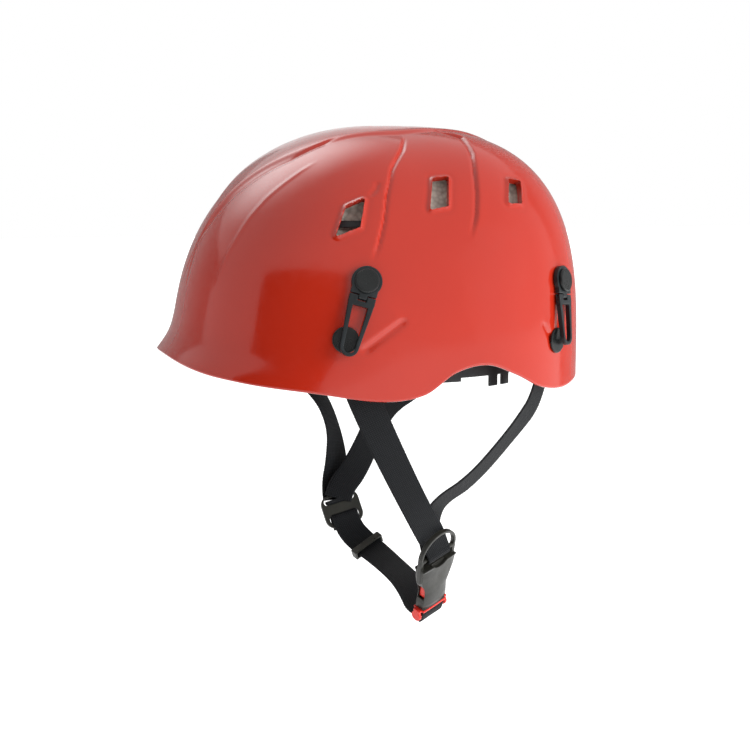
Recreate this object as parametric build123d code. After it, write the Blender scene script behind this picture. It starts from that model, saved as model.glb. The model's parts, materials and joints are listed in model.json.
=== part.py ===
from build123d import *
import os
from math import atan2, cos, degrees, exp, hypot, pi, radians, sin, tan

# Climbing helmet. Front faces -Y, the wearer's left is +X, the crown is +Z.
# The origin is the middle of the wearer's head at the height of the headband.

# ---- outer shell -------------------------------------------------------------------------
HALF_WIDTH = 113.0
FRONT_REACH = 133.6
BACK_REACH = 132.3
CROWN_RISE = 146.6
WIDEST_Z = 7.5
PLAN_POWER = 2.31
MERIDIAN_POWER = {"front": 2.2, "side": 2.28, "back": 3.1}
SHELL_WALL = 2.8
BRIM_FLARE = 20.0
BRIM_Z = 13.0
BRIM_SOFT = 6.5
SPINE_RISE = 1.6
SPINE_HALF_WIDTH = 34.0
SKIRT_DROP = 60.0
RINGS = 18
SPOKES = 36
FIRST_RING = 0.02
RIM = [(-160, 24.0), (-139, 10.5), (-113, 4.5), (-72, -1.0), (-31, -7.0), (-5, -4.0), (15, 8.5),
       (36, 12.0), (57, 4.5), (77, -5.0), (98, -8.5), (118, -6.5), (140, -3.5)]

# Vent corners and clip points on the shell: degrees round from the front, degrees down from the crown.
VENTS = [
    [(67.9, 40.9), (61.2, 43.8), (58.8, 52.6), (66.7, 49.2)],
    [(98.1, 34.2), (105.8, 34.5), (100.6, 42.9), (92.8, 43.5)],
    [(131.5, 39.9), (136.8, 41.5), (130.4, 47.0), (124.6, 45.8)],
]
VENT_CORNER = 1.0
CLIPS = {
    "front": {"rivet": (69.2, 63.4), "tip": (64.0, 84.0), "anchor": (63.5, 79.5)},
    "rear": {"rivet": (139.2, 67.9), "tip": (137.0, 85.0), "anchor": (135.3, 83.6)},
}

# ---- headlamp clips, rivets and strap anchors --------------------------------------------
CLIP_PLATE = 3.0
CLIP_DISC_R = 9.2
CLIP_NECK = 10.0
CLIP_STAND_OFF = 0.3
CLIP_TIP_HEIGHT = 5.4
CLIP_TOP_HALF = 8.0
CLIP_TIP_HALF = 5.6
CLIP_BAR_TOP = 3.4
CLIP_BAR_TIP = 2.1
CLIP_SLOT_START = 5.4
CLIP_PIN_R = 0.7
HINGE_FIT = 0.05
RIVET_CAP_R = 7.3
RIVET_CAP_HEIGHT = 2.0
RIVET_SHANK_R = 2.4
RIVET_FOOT_R = 5.0
RIVET_FOOT = 1.4
ANCHOR_CAP_R = 8.0
ANCHOR_CAP = 1.3
ANCHOR_SHANK_R = 3.0
ANCHOR_PLATE = (22.0, 14.0, 2.0)

# ---- liner and pads ----------------------------------------------------------------------
LINER_OUTSET = 3.3
LINER_INSET = 18.0
LINER_EDGE_Z = 38.0
VENT_POCKET = 4.0
BAND_Z = (94.5, 98.5)
BAND_DEPTH = 1.0
CROWN_PAD_SIZE = (52.0, 70.0)
CROWN_PAD_THICK = 6.0

# ---- headband and ratchet ----------------------------------------------------------------
BAND_R = 85.0
BAND_Y = 18.0
BAND_FRONT = 120.0
BAND_WALL = 1.6
BAND_LOW_Z = -2.0
BAND_TOP_Z = 20.0
ARM_LOW_Z = 0.0
ARM_TOP_Z = 16.0
RACK_Z = 8.0
MODULE = 1.0
PINION_TEETH = 12
RACK_BAR = 3.0
HOUSING_HALF_ANGLE = 17.0
GUIDE_FRONT = 17.0
GUIDE_BACK = 6.0
ARM_START = -6.0
KNOB_R = 13.0
KNOB_LENGTH = 8.0
SHAFT_R = 2.5

# ---- webbing and chin hardware -----------------------------------------------------------
WEB_WIDTH = 20.0
WEB_THICK = 1.5
WEB_LOOP_LEG = 0.1
BUCKLE_AT = Vector(76.0, 14.6, -124.5)
BUCKLE_W = Vector(-0.412, 0.871, 0.269)
BUCKLE_N = Vector(0.792, 0.488, -0.366)
DIVIDER_AT = Vector(-69.0, -3.1, -116.5)
DIVIDER_W = Vector(-0.041, 0.974, 0.223)
DIVIDER_N = Vector(0.943, -0.036, 0.330)
KEEPER_STATION = 10

# Each strap's route, from its upper end down, as (point, the way its face looks).
STRAPS = {
    "left_front_strap": [
        ((99.3, -51.0, 21.0), (0.96, -0.26, 0.05)), ((102.5, -40.0, -10.0), (0.96, -0.10, 0.10)),
        ((99.0, -16.6, -57.0), (0.93, 0.20, 0.05)), ((95.2, 0.4, -88.3), (0.85, 0.42, -0.20)),
        ((84.3, 11.2, -102.3), (0.75, 0.50, -0.43)), ((84.6, 14.4, -110.9), (0.91, 0.39, 0.13))],
    "left_rear_strap": [
        ((84.3, 85.0, 13.0), (0.68, 0.72, 0.10)), ((85.0, 82.0, -13.0), (0.70, 0.66, -0.10)),
        ((90.0, 62.0, -35.0), (0.68, 0.54, -0.42)), ((94.0, 32.0, -64.0), (0.66, 0.53, -0.45)),
        ((86.2, 13.9, -77.0), (0.75, 0.50, -0.43)), ((81.4, 9.0, -90.6), (0.79, 0.49, -0.36)),
        ((79.6, 9.8, -102.3), (0.85, 0.45, -0.20)), ((80.0, 12.6, -111.6), (0.91, 0.39, 0.13))],
    "right_front_strap": [
        ((-99.3, -51.0, 21.0), (-0.96, -0.26, 0.05)), ((-101.0, -32.0, -10.0), (-0.90, -0.35, 0.0)),
        ((-96.5, -10.0, -38.0), (-0.62, -0.72, -0.35)), ((-90.5, -2.0, -62.0), (-0.66, -0.70, -0.30)),
        ((-83.5, -2.5, -86.0), (-0.85, -0.35, -0.38)), ((-77.5, -6.2, -102.3), (-0.93, 0.0, -0.35)),
        ((-73.9, -5.8, -110.2), (-0.943, 0.036, -0.330))],
    "right_rear_strap": [
        ((-84.3, 85.0, 13.0), (-0.68, 0.72, 0.10)), ((-85.5, 81.0, -13.0), (-0.80, 0.55, 0.0)),
        ((-87.0, 60.0, -30.0), (-0.92, 0.25, 0.05)), ((-86.0, 34.0, -45.0), (-0.96, 0.0, 0.05)),
        ((-81.5, 21.0, -70.0), (-0.96, -0.10, 0.0)), ((-75.5, 8.0, -90.0), (-0.94, 0.0, -0.25)),
        ((-71.5, -3.3, -100.6), (-0.93, 0.0, -0.35)), ((-69.3, -5.9, -108.6), (-0.943, 0.036, -0.330))],
    "chin_strap": [
        ((-64.4, -1.6, -122.1), (0.943, -0.036, 0.330)), ((-61.6, 0.2, -129.4), (0.90, -0.10, 0.42)),
        ((-53.5, 6.5, -137.0), (0.70, -0.25, 0.66)), ((-40.0, 12.0, -141.5), (0.40, -0.30, 0.87)),
        ((-14.5, 15.3, -145.0), (0.10, -0.22, 0.96)), ((14.0, 16.3, -147.0), (0.0, -0.20, 0.97)),
        ((36.5, 15.5, -151.0), (0.05, -0.22, 0.97)), ((53.6, 13.6, -155.4), (0.15, -0.22, 0.96)),
        ((60.9, 17.1, -155.7), (0.152, -0.225, 0.962))],
}


# ---- surface formula ---------------------------------------------------------------------
def rim_height(y):
    """Height of the shell's lower edge at a given Y: a smooth curve through the RIM points."""
    y = min(max(y, RIM[0][0]), RIM[-1][0])
    k = 0
    while k < len(RIM) - 2 and y > RIM[k + 1][0]:
        k += 1
    (y0, z0), (y1, z1) = RIM[k], RIM[k + 1]
    before = RIM[max(k - 1, 0)]
    after = RIM[min(k + 2, len(RIM) - 1)]
    slope0 = (z1 - before[1]) / (y1 - before[0])
    slope1 = (after[1] - z0) / (after[0] - y0)
    span = y1 - y0
    t = (y - y0) / span
    return ((2 * t**3 - 3 * t**2 + 1) * z0 + (t**3 - 2 * t**2 + t) * span * slope0
            + (3 * t**2 - 2 * t**3) * z1 + (t**3 - t**2) * span * slope1)


def ease(t):
    t = min(max(t, 0.0), 1.0)
    return t * t * (3 - 2 * t)


def spine_relief(x, y):
    """Height of the raised leaf-shaped panel that runs over the crown."""
    along = ease((y + 124) / 74) if y < -50 else ease((110 - y) / 120)
    half = 4 + (SPINE_HALF_WIDTH - 4) * along
    return SPINE_RISE * ease((half + 5 - abs(x)) / 10) * ease((y + 130) / 30) * ease((100 - y) / 50)


def shell_point(around, down, inset=0.0, relief=True):
    """Point of the shell family: angle round from the front, angle down from the crown, wall inset."""
    front, side = cos(around), sin(around)
    reach = (FRONT_REACH if front > 0 else BACK_REACH) - inset
    plan = ((abs(side) / (HALF_WIDTH - inset))**PLAN_POWER
            + (abs(front) / reach)**PLAN_POWER)**(-1 / PLAN_POWER)
    power = (MERIDIAN_POWER["side"] * side**2
             + MERIDIAN_POWER["front" if front > 0 else "back"] * front**2)
    rise = CROWN_RISE - inset
    if down <= pi / 2:
        radius = ((sin(down) / plan)**power + (cos(down) / rise)**power)**(-1 / power)
        out, z = radius * sin(down), radius * cos(down) + WIDEST_Z
    else:
        out, z = plan, WIDEST_Z - (down - pi / 2) * SKIRT_DROP
    x, y = out * side, -out * front
    if relief:
        scale = 1 + spine_relief(x, y) / hypot(out, z - WIDEST_Z) * ease((z - 25) / 40)
        x, y, z = x * scale, y * scale, WIDEST_Z + (z - WIDEST_Z) * scale
    flare = BRIM_FLARE * max(front, 0.0)**2 / (1 + exp((z - BRIM_Z) / BRIM_SOFT))
    return Vector(x + 0.6 * flare * side, y - flare, z)


def on_shell(spot, inset=0.0):
    return shell_point(radians(spot[0]), radians(spot[1]), inset, relief=False)


def shell_normal(spot):
    step = 0.5
    across = on_shell((spot[0] + step, spot[1])) - on_shell((spot[0] - step, spot[1]))
    downwards = on_shell((spot[0], spot[1] + step)) - on_shell((spot[0], spot[1] - step))
    return downwards.cross(across).normalized()


def edge_angle(around, inset, relief, edge):
    """How far down from the crown the surface meets its lower edge, found by halving."""
    high, low = radians(20), radians(150)
    for _ in range(40):
        middle = (high + low) / 2
        spot = shell_point(around, middle, inset, relief)
        if spot.Z > edge(spot.Y):
            high = middle
        else:
            low = middle
    return high


def ring(share, inset, relief, edge):
    """Closed curve round the dome, a given share of the way from the crown to the lower edge."""
    points = []
    for k in range(SPOKES):
        around = 2 * pi * k / SPOKES
        points.append(shell_point(around, share * edge_angle(around, inset, relief, edge), inset, relief))
    spots = [k / SPOKES for k in range(SPOKES + 1)]
    return Wire([Edge.make_spline(points, periodic=True, parameters=spots)])


def dome(inset, relief, edge):
    """One smooth face of the shell family, lofted from the crown through rings to the lower edge."""
    shares = [FIRST_RING] + [k / RINGS for k in range(1, RINGS + 1)]
    rings = [ring(share, inset, relief, edge) for share in shares]
    crown = Vertex(shell_point(0.0, 0.0, inset, relief))
    return Shell.make_loft([crown] + rings).faces()[0]


def thick_dome(outer_inset, inner_inset, edge, relief=False):
    """Solid between two members of the shell family, open below, down to the edge height."""
    faces = [dome(inset, relief, edge) for inset in (outer_inset, inner_inset)]
    rims = [max(face.edges(), key=lambda e: e.length) for face in faces]
    wall = Face.make_surface_from_curves(*rims)
    return Solid(Shell(faces + [wall]))


# ---- small makers ------------------------------------------------------------------------
def write(shape, name):
    export_step(shape, f"parts/{name}.step")


def set_at(shape, origin, x_dir, z_dir):
    return Plane(origin=origin, x_dir=x_dir, z_dir=z_dir).location * shape


def sector(inner_r, outer_r, start, end, low, high, centre=(0, BAND_Y)):
    """Curved bar: a piece of ring between two angles (degrees from +X towards +Y)."""
    a, b = radians(start), radians(end)
    mid = (a + b) / 2

    def spot(r, t):
        return (centre[0] + r * cos(t), centre[1] + r * sin(t), low)

    outline = Wire([
        Edge.make_three_point_arc(spot(outer_r, a), spot(outer_r, mid), spot(outer_r, b)),
        Edge.make_line(spot(outer_r, b), spot(inner_r, b)),
        Edge.make_three_point_arc(spot(inner_r, b), spot(inner_r, mid), spot(inner_r, a)),
        Edge.make_line(spot(inner_r, a), spot(outer_r, a))])
    return Solid.extrude(Face(outline), Vector(0, 0, high - low))


def prism(points, depth):
    """Closed polygon in the local XY plane, pushed up by depth."""
    return extrude(make_face(Polyline(*points, close=True)), depth)


def mirrored(shape):
    return mirror(shape, about=Plane.YZ)


# ---- shell, liner and pads ---------------------------------------------------------------
def vent_plane(corners, inset=0.0):
    spots = [on_shell(c, inset) for c in corners]
    middle = (spots[0] + spots[1] + spots[2] + spots[3]) * 0.25
    normal = (spots[2] - spots[0]).cross(spots[3] - spots[1]).normalized()
    if normal.dot(middle - Vector(0, 0, WIDEST_Z)) < 0:
        normal = -normal
    return Plane(origin=middle, x_dir=spots[1] - spots[0], z_dir=normal), spots


def vent_cutter(corners, depth, grow=0.0):
    plane, spots = vent_plane(corners)
    flat = [plane.to_local_coords(s) for s in spots]
    centre = sum((Vector(p.X, p.Y) for p in flat), Vector()) * 0.25
    outline = []
    for p in flat:
        away = Vector(p.X, p.Y) - centre
        grown = centre + away * (1 + grow / away.length)
        outline.append((grown.X, grown.Y))
    face = make_face(Polyline(*outline, close=True))
    face = fillet(face.vertices(), VENT_CORNER)
    body = extrude(face, depth + 12)
    return plane.location * (Pos(0, 0, -depth) * body)


def both_sides(shape):
    return [shape, mirrored(shape)]


def rivet_holes(radius, depth, which):
    cutters = []
    for clip in CLIPS.values():
        spot = clip[which]
        hole = Pos(0, 0, -depth) * Cylinder(radius, depth + 8, align=(Align.CENTER, Align.CENTER, Align.MIN))
        cutters += both_sides(set_at(hole, on_shell(spot), Vector(0, 0, 1), shell_normal(spot)))
    return cutters


def outer_shell():
    body = thick_dome(0.0, SHELL_WALL, rim_height, relief=True)
    cutters = []
    for corners in VENTS:
        cutters += both_sides(vent_cutter(corners, 12))
    cutters += rivet_holes(RIVET_SHANK_R + HINGE_FIT, 8, "rivet")
    cutters += rivet_holes(ANCHOR_SHANK_R + HINGE_FIT, 8, "anchor")
    for cutter in cutters:
        body = body.cut(cutter)
    return body


def slab(low, high):
    return Pos(0, 0, low) * Box(400, 400, high - low, align=(Align.CENTER, Align.CENTER, Align.MIN))


def liner_edge(_):
    return LINER_EDGE_Z


def foam_liner():
    body = thick_dome(LINER_OUTSET, LINER_INSET, liner_edge)
    groove = thick_dome(LINER_OUTSET - 1.0, LINER_OUTSET + BAND_DEPTH + 0.6, liner_edge)
    cutters = [groove & slab(BAND_Z[0] - 0.3, BAND_Z[1] + 0.3)]
    for corners in VENTS:
        cutters += both_sides(vent_cutter(corners, SHELL_WALL + VENT_POCKET, grow=3.0))
    cutters += rivet_holes(RIVET_FOOT_R + 1.0, SHELL_WALL + RIVET_FOOT + 2.4, "rivet")
    cutters += hanger_slots()
    for cutter in cutters:
        body = body.cut(cutter)
    return body


def liner_band():
    ring = thick_dome(LINER_OUTSET + 0.2, LINER_OUTSET + BAND_DEPTH, liner_edge)
    return ring & slab(*BAND_Z)


def crown_pad():
    dome = thick_dome(LINER_INSET + 0.4, LINER_INSET + CROWN_PAD_THICK, liner_edge)
    blank = extrude(Ellipse(*CROWN_PAD_SIZE).face(), 200)
    return dome & blank


# ---- headband ----------------------------------------------------------------------------
HANGER_ANGLES = [210.0, 250.0, 290.0, 330.0]
HANGER_HALF = 7.0
HANGER_TOP_Z = LINER_EDGE_Z + 8.0


def half_ellipse_bar(grow, wall, low, high, squeeze=0.0):
    """Front half of the headband oval: straight-sided bar between two half ellipses."""
    y_front = BAND_Y - BAND_FRONT - grow
    outer = Edge.make_ellipse(BAND_R + grow + wall, BAND_Y - y_front + wall,
                              Plane.XY.offset(low), start_angle=180 + squeeze, end_angle=360 - squeeze)
    inner = Edge.make_ellipse(BAND_R + grow, BAND_Y - y_front,
                              Plane.XY.offset(low), start_angle=180 + squeeze, end_angle=360 - squeeze)
    outline = Wire([outer, Edge.make_line(outer @ 1, inner @ 1), inner,
                    Edge.make_line(inner @ 0, outer @ 0)])
    return Pos(0, BAND_Y, 0) * Solid.extrude(Face(outline), Vector(0, 0, high - low))


def hanger_wedge(angle, half):
    """Radial block that trims the oval bar down to one hanger."""
    block = Pos(105, 0, 0) * Box(90, 2 * half, 400)
    return Pos(0, BAND_Y, 0) * Rot(0, 0, angle) * block


def front_headband():
    band = half_ellipse_bar(0, BAND_WALL, BAND_LOW_Z, BAND_TOP_Z, squeeze=10.8)
    tabs = []
    tall = half_ellipse_bar(0, BAND_WALL, BAND_TOP_Z - 1, HANGER_TOP_Z)
    for angle in HANGER_ANGLES:
        tabs.append(tall & hanger_wedge(angle, HANGER_HALF))
    guides = [temple_guide(), mirrored(temple_guide())]
    return band.fuse(*tabs, *guides)


def temple_guide():
    """Sleeve at the temple that the adjuster arm slides in, closed at its front end."""
    outer = sector(BAND_R - 2.2, BAND_R + 3.8, -GUIDE_FRONT, GUIDE_BACK, ARM_LOW_Z - 2, ARM_TOP_Z + 2)
    slot = sector(BAND_R - 0.35, BAND_R + BAND_WALL + 0.35, -GUIDE_FRONT + 3, GUIDE_BACK + 3,
                  ARM_LOW_Z - 0.35, ARM_TOP_Z + 0.35)
    return outer - slot


def hanger_slots():
    slots = []
    tall = half_ellipse_bar(-0.4, BAND_WALL + 0.8, LINER_EDGE_Z - 5, HANGER_TOP_Z + 1)
    for angle in HANGER_ANGLES:
        slots.append(tall & hanger_wedge(angle, HANGER_HALF + 0.5))
    slots.append(sector(BAND_R - 0.4, BAND_R + 2.4, 79, 101, LINER_EDGE_Z - 5, HANGER_TOP_Z + 1))
    return slots


def brow_pad():
    return half_ellipse_bar(-6.4, 6.0, BAND_LOW_Z - 2, BAND_TOP_Z + 2, squeeze=38)


# ---- adjuster ----------------------------------------------------------------------------
PITCH_R = MODULE * PINION_TEETH / 2
PITCH = pi * MODULE
RACK_STEP = degrees(PITCH / BAND_R)
RACK_START = 66.0
RACK_END = 100.0


def rack_teeth(side):
    """Row of teeth on one arm: side is +1 for the upper rack and -1 for the lower."""
    root = RACK_Z + side * (PITCH_R + 1.15)
    tip = RACK_Z + side * (PITCH_R - 0.75)
    teeth = []
    count = int((RACK_END - 80) / RACK_STEP)
    for k in range(count):
        centre = 90 + (k - count // 2) * RACK_STEP
        if centre > RACK_END - 1:
            continue
        for half, reach in ((0.40, tip), (0.62, (root + tip) / 2)):
            wide = RACK_STEP * half / 2
            low, high = sorted((root + side * 0.2, reach))
            teeth.append(sector(BAND_R, BAND_R + BAND_WALL, centre - wide, centre + wide, low, high))
    return teeth


def adjuster_arm(side):
    """Arm on the wearer's left whose rack lies above (+1) or below (-1) the pinion."""
    strap = sector(BAND_R, BAND_R + BAND_WALL, ARM_START, RACK_START, ARM_LOW_Z, ARM_TOP_Z)
    root = RACK_Z + side * (PITCH_R + 1.15)
    low, high = sorted((root, root + side * RACK_BAR))
    bar = sector(BAND_R, BAND_R + BAND_WALL, RACK_START - 2, RACK_END, low, high)
    lobes = [sector(BAND_R, BAND_R + BAND_WALL, a, a + 5, -7.0, ARM_LOW_Z + 1) for a in (21.0, 28.5)]
    return strap.fuse(bar, *lobes, *rack_teeth(side))


def adjuster_housing():
    half = HOUSING_HALF_ANGLE
    block = sector(BAND_R - 1.5, BAND_R + 5.0, 90 - half, 90 + half, -6.0, 22.0)
    cavity = sector(BAND_R - 2.5, BAND_R + BAND_WALL + 1.0, 90 - half - 3, 90 + half + 3, -3.2, 19.2)
    bore = Pos(0, BAND_Y + BAND_R + 4, RACK_Z) * Rot(90, 0, 0) * Cylinder(SHAFT_R + HINGE_FIT, 14)
    stem = sector(BAND_R + 0.1, BAND_R + 1.9, 80, 100, 21.0, HANGER_TOP_Z)
    lean = sector(BAND_R + 0.1, BAND_R + 4.0, 80, 100, 20.5, 22.0)
    return (block - cavity).cut(bore).fuse(stem, lean)


def adjuster_cover():
    half = HOUSING_HALF_ANGLE - 1.5
    return sector(BAND_R - 3.6, BAND_R - 1.8, 90 - half, 90 + half, -5.0, 21.0)


def tooth_ring(radius, tip, count, low, high, root_angle, tip_angle):
    """Disc with tapered teeth, standing along local Z."""
    disc = Pos(0, 0, low) * Cylinder(radius, high - low, align=(Align.CENTER, Align.CENTER, Align.MIN))
    teeth = []
    for k in range(count):
        a = 2 * pi * k / count
        inner = radius - 0.3
        outline = []
        corners = ((inner, -root_angle), (tip, -tip_angle), (tip, tip_angle), (inner, root_angle))
        for r, turn in corners:
            outline.append((r * cos(a + turn), r * sin(a + turn)))
        teeth.append(Pos(0, 0, low) * prism(outline, high - low))
    return disc.fuse(*teeth)


def pinion_at(shape):
    """Set a shape's local Z along the pinion axis, pointing back."""
    return set_at(shape, Vector(0, BAND_Y + BAND_R, RACK_Z), Vector(1, 0, 0), Vector(0, 1, 0))


def adjuster_pinion():
    gear = tooth_ring(PITCH_R - 1.2, PITCH_R + 0.75, PINION_TEETH, 0.0, 2.0, 0.135, 0.055)
    return pinion_at(Rot(0, 0, 15) * gear)


def adjuster_knob():
    shaft = Pos(0, 0, 2.1) * Cylinder(SHAFT_R, 4.0, align=(Align.CENTER, Align.CENTER, Align.MIN))
    body = Pos(0, 0, 5.6) * Cylinder(KNOB_R, KNOB_LENGTH, align=(Align.CENTER, Align.CENTER, Align.MIN))
    body = chamfer(body.edges().filter_by(GeomType.CIRCLE).sort_by(Axis.Z)[-1], 1.2)
    flutes = []
    for k in range(12):
        groove = Cylinder(1.6, 30)
        flutes.append(Rot(0, 0, 30 * k) * Pos(KNOB_R + 0.7, 0, 10) * groove)
    return pinion_at(body.cut(*flutes).fuse(shaft))


def nape_pad():
    return sector(BAND_R - 10.0, BAND_R - 4.0, 62, 118, -3.0, 18.0)


# ---- headlamp clips ----------------------------------------------------------------------
def clip_frame(clip):
    """Rivet point, outward normal, direction down the clip, and the loop's own plane."""
    at = on_shell(clip["rivet"])
    normal = shell_normal(clip["rivet"])
    tip = on_shell(clip["tip"]) + shell_normal(clip["tip"]) * CLIP_TIP_HEIGHT
    start = at + normal * (CLIP_STAND_OFF + CLIP_PLATE / 2)
    down = tip - start
    down = (down - normal * down.dot(normal)).normalized()
    neck = start + down * CLIP_NECK
    lean = (tip - neck).normalized()
    side = down.cross(normal).normalized()
    return at, normal, down, side, neck, lean, (tip - neck).length


def clip_base(clip):
    at, normal, down, side, neck, _, _ = clip_frame(clip)
    disc = Cylinder(CLIP_DISC_R, CLIP_PLATE, align=(Align.CENTER, Align.CENTER, Align.MIN))
    bridge = Pos(CLIP_NECK / 2, 0, 0) * Box(CLIP_NECK, 2 * CLIP_TOP_HALF, CLIP_PLATE,
                                            align=(Align.CENTER, Align.CENTER, Align.MIN))
    body = disc + bridge
    clear = Pos(CLIP_NECK + 0.6, 0, CLIP_PLATE / 2) * Box(4.2, 2 * CLIP_TOP_HALF + 2, 2 * CLIP_PLATE)
    body = body - clear
    web = Pos(CLIP_NECK - 1.6, 0, CLIP_PLATE / 2) * Box(3.0, 5.0, CLIP_PLATE)
    knuckle_at = Pos(CLIP_NECK, 0, CLIP_PLATE / 2) * Rot(90, 0, 0)
    knuckle = knuckle_at * Cylinder(CLIP_PLATE / 2, 5.0)
    pin = knuckle_at * Cylinder(CLIP_PIN_R, 2 * CLIP_TOP_HALF - 2)
    hole = Cylinder(RIVET_SHANK_R + HINGE_FIT, 20)
    body = (body + web + knuckle + pin) - hole
    return set_at(body, at + normal * CLIP_STAND_OFF, down, normal)


def clip_loop(clip):
    _, normal, _, side, neck, lean, reach = clip_frame(clip)
    up = side.cross(lean).normalized()
    if up.dot(normal) < 0:
        up = -up
    half, tip = CLIP_TOP_HALF, CLIP_TIP_HALF
    outline = [(2.6, -half), (reach - tip, -tip), (reach - tip, tip), (2.6, half)]
    plate = prism(outline, CLIP_PLATE) + Pos(reach - tip, 0, 0) * Cylinder(
        tip, CLIP_PLATE, align=(Align.CENTER, Align.CENTER, Align.MIN))
    ears = []
    for sign in (-1, 1):
        ear = Box(5.2, half - 2.8, CLIP_PLATE, align=(Align.CENTER, Align.CENTER, Align.MIN))
        ears.append(Pos(1.3, sign * (half + 2.8) / 2, 0) * ear)
    knuckle = Pos(0, 0, CLIP_PLATE / 2) * Rot(90, 0, 0) * Cylinder(CLIP_PLATE / 2, 2 * half)
    middle = Pos(-1.3, 0, 0) * Box(5.8, 5.4, 12)
    pin_bore = Pos(0, 0, CLIP_PLATE / 2) * Rot(90, 0, 0) * Cylinder(CLIP_PIN_R + HINGE_FIT, 40)
    behind = Pos(-10 - 0.9, 0, 0) * Box(20, 40, 20)
    slot_half, slot_tip = half - CLIP_BAR_TOP, tip - CLIP_BAR_TIP
    slot = prism([(CLIP_SLOT_START, -slot_half), (reach - tip, -slot_tip), (reach - tip, slot_tip),
                  (CLIP_SLOT_START, slot_half)], 9)
    round_end = Pos(reach - tip, 0, 0) * Cylinder(slot_tip, 18)
    body = plate.fuse(*ears, knuckle)
    body = body.cut(middle, pin_bore, behind, Pos(0, 0, -3) * slot, round_end)
    body = Pos(0, 0, -CLIP_PLATE / 2) * body
    return set_at(body, neck, lean, up)


def clip_rivet(clip):
    at, normal, down, _, _, _, _ = clip_frame(clip)
    top = CLIP_STAND_OFF + CLIP_PLATE
    cap = Pos(0, 0, top + 0.05) * Cylinder(RIVET_CAP_R, RIVET_CAP_HEIGHT,
                                           align=(Align.CENTER, Align.CENTER, Align.MIN))
    cap = fillet(cap.edges().filter_by(GeomType.CIRCLE).sort_by(Axis.Z)[-1], 0.9)
    foot_z = -SHELL_WALL - 0.35
    shank = Pos(0, 0, foot_z - RIVET_FOOT) * Cylinder(RIVET_SHANK_R, top + 0.1 - foot_z + RIVET_FOOT,
                                                      align=(Align.CENTER, Align.CENTER, Align.MIN))
    foot = Pos(0, 0, foot_z - RIVET_FOOT) * Cylinder(RIVET_FOOT_R, RIVET_FOOT,
                                                     align=(Align.CENTER, Align.CENTER, Align.MIN))
    return set_at(cap + shank + foot, at, down, normal)


def strap_anchor(clip):
    spot = clip["anchor"]
    cap = Pos(0, 0, 0.3) * Cylinder(ANCHOR_CAP_R, ANCHOR_CAP, align=(Align.CENTER, Align.CENTER, Align.MIN))
    cap = fillet(cap.edges().filter_by(GeomType.CIRCLE).sort_by(Axis.Z)[-1], 0.7)
    foot_z = -SHELL_WALL - 1.2
    wide, tall, thick = ANCHOR_PLATE
    shank = Pos(0, 0, foot_z - thick) * Cylinder(ANCHOR_SHANK_R, 0.9 - foot_z + thick,
                                                 align=(Align.CENTER, Align.CENTER, Align.MIN))
    plate = Pos(0, 0, foot_z - thick) * Box(tall, wide, thick, align=(Align.CENTER, Align.CENTER, Align.MIN))
    plate = fillet(plate.edges().filter_by(Axis.Z), 3.0)
    return set_at(cap + shank + plate, on_shell(spot), Vector(0, 0, 1), shell_normal(spot))


# ---- webbing -----------------------------------------------------------------------------
def strap_stations(route):
    """Places along straight runs joined by tangent arcs: (point, direction, face), plus the radii."""
    points = [Vector(*p) for p, _ in route]
    faces = [Vector(*f).normalized() for _, f in route]
    stations = [(points[0], (points[1] - points[0]).normalized(), faces[0])]
    radii = []
    for k in range(1, len(points) - 1):
        before, here, after = points[k - 1], points[k], points[k + 1]
        into, away = (here - before).normalized(), (after - here).normalized()
        turn = radians(into.get_angle(away))
        shorter = min((here - before).length, (after - here).length)
        radius = 0.45 * shorter / tan(turn / 2)
        radii.append(round(radius, 1))
        reach = 0.45 * shorter
        inward = (away - into).normalized()
        centre = here + inward * (radius / cos(turn / 2))
        steps = 4
        for n in range(steps + 1):
            share = n / steps
            heading = (into * sin(turn * (1 - share)) + away * sin(turn * share)) * (1 / sin(turn))
            heading = heading.normalized()
            side_in = (inward - heading * inward.dot(heading)).normalized()
            spot = centre - side_in * radius
            if n == 0:
                spot = here - into * reach
            if n == steps:
                spot = here + away * reach
            span = 0.45 * (share - 0.5)
            other = faces[k + 1] if span > 0 else faces[k - 1]
            face = faces[k] * (1 - abs(span)) + other * abs(span)
            stations.append((spot, heading, face.normalized()))
    stations.append((points[-1], (points[-1] - points[-2]).normalized(), faces[-1]))
    return stations, radii


def strap(name):
    stations, radii = strap_stations(STRAPS[name])
    sections = []
    length = 0.0
    for k, (spot, heading, face) in enumerate(stations):
        across = heading.cross(face).normalized()
        normal = across.cross(heading).normalized()
        a = across * (WEB_WIDTH / 2)
        b = normal * (WEB_THICK / 2)
        corners = [spot + a + b, spot - a + b, spot - a - b, spot + a - b]
        sections.append(Wire.make_polygon(corners, close=True))
        if k:
            length += (spot - stations[k - 1][0]).length
    body = Solid.make_loft(sections, ruled=True)
    print(name, "length", round(length, 1), "radii", radii,
          "volume ratio", round(body.volume / (length * WEB_WIDTH * WEB_THICK), 3))
    return body


def web_loop(bar_r, towards, tilt, gap=0.25):
    """Webbing folded round a bar along local X: open towards +Y (1) or -Y (-1), then tilted about X."""
    inner_r = bar_r + gap
    outer_r = inner_r + WEB_THICK
    ring_part = Rot(0, 90, 0) * (Cylinder(outer_r, WEB_WIDTH) - Cylinder(inner_r, WEB_WIDTH + 2))
    ring_part = ring_part & (Pos(0, -towards * 50, 0) * Box(100, 100, 100))
    legs = []
    for sign in (-1, 1):
        leg = Box(WEB_WIDTH, WEB_LOOP_LEG, WEB_THICK)
        legs.append(Pos(0, towards * WEB_LOOP_LEG / 2, sign * (inner_r + WEB_THICK / 2)) * leg)
    return Rot(tilt, 0, 0) * ring_part.fuse(*legs)


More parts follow.
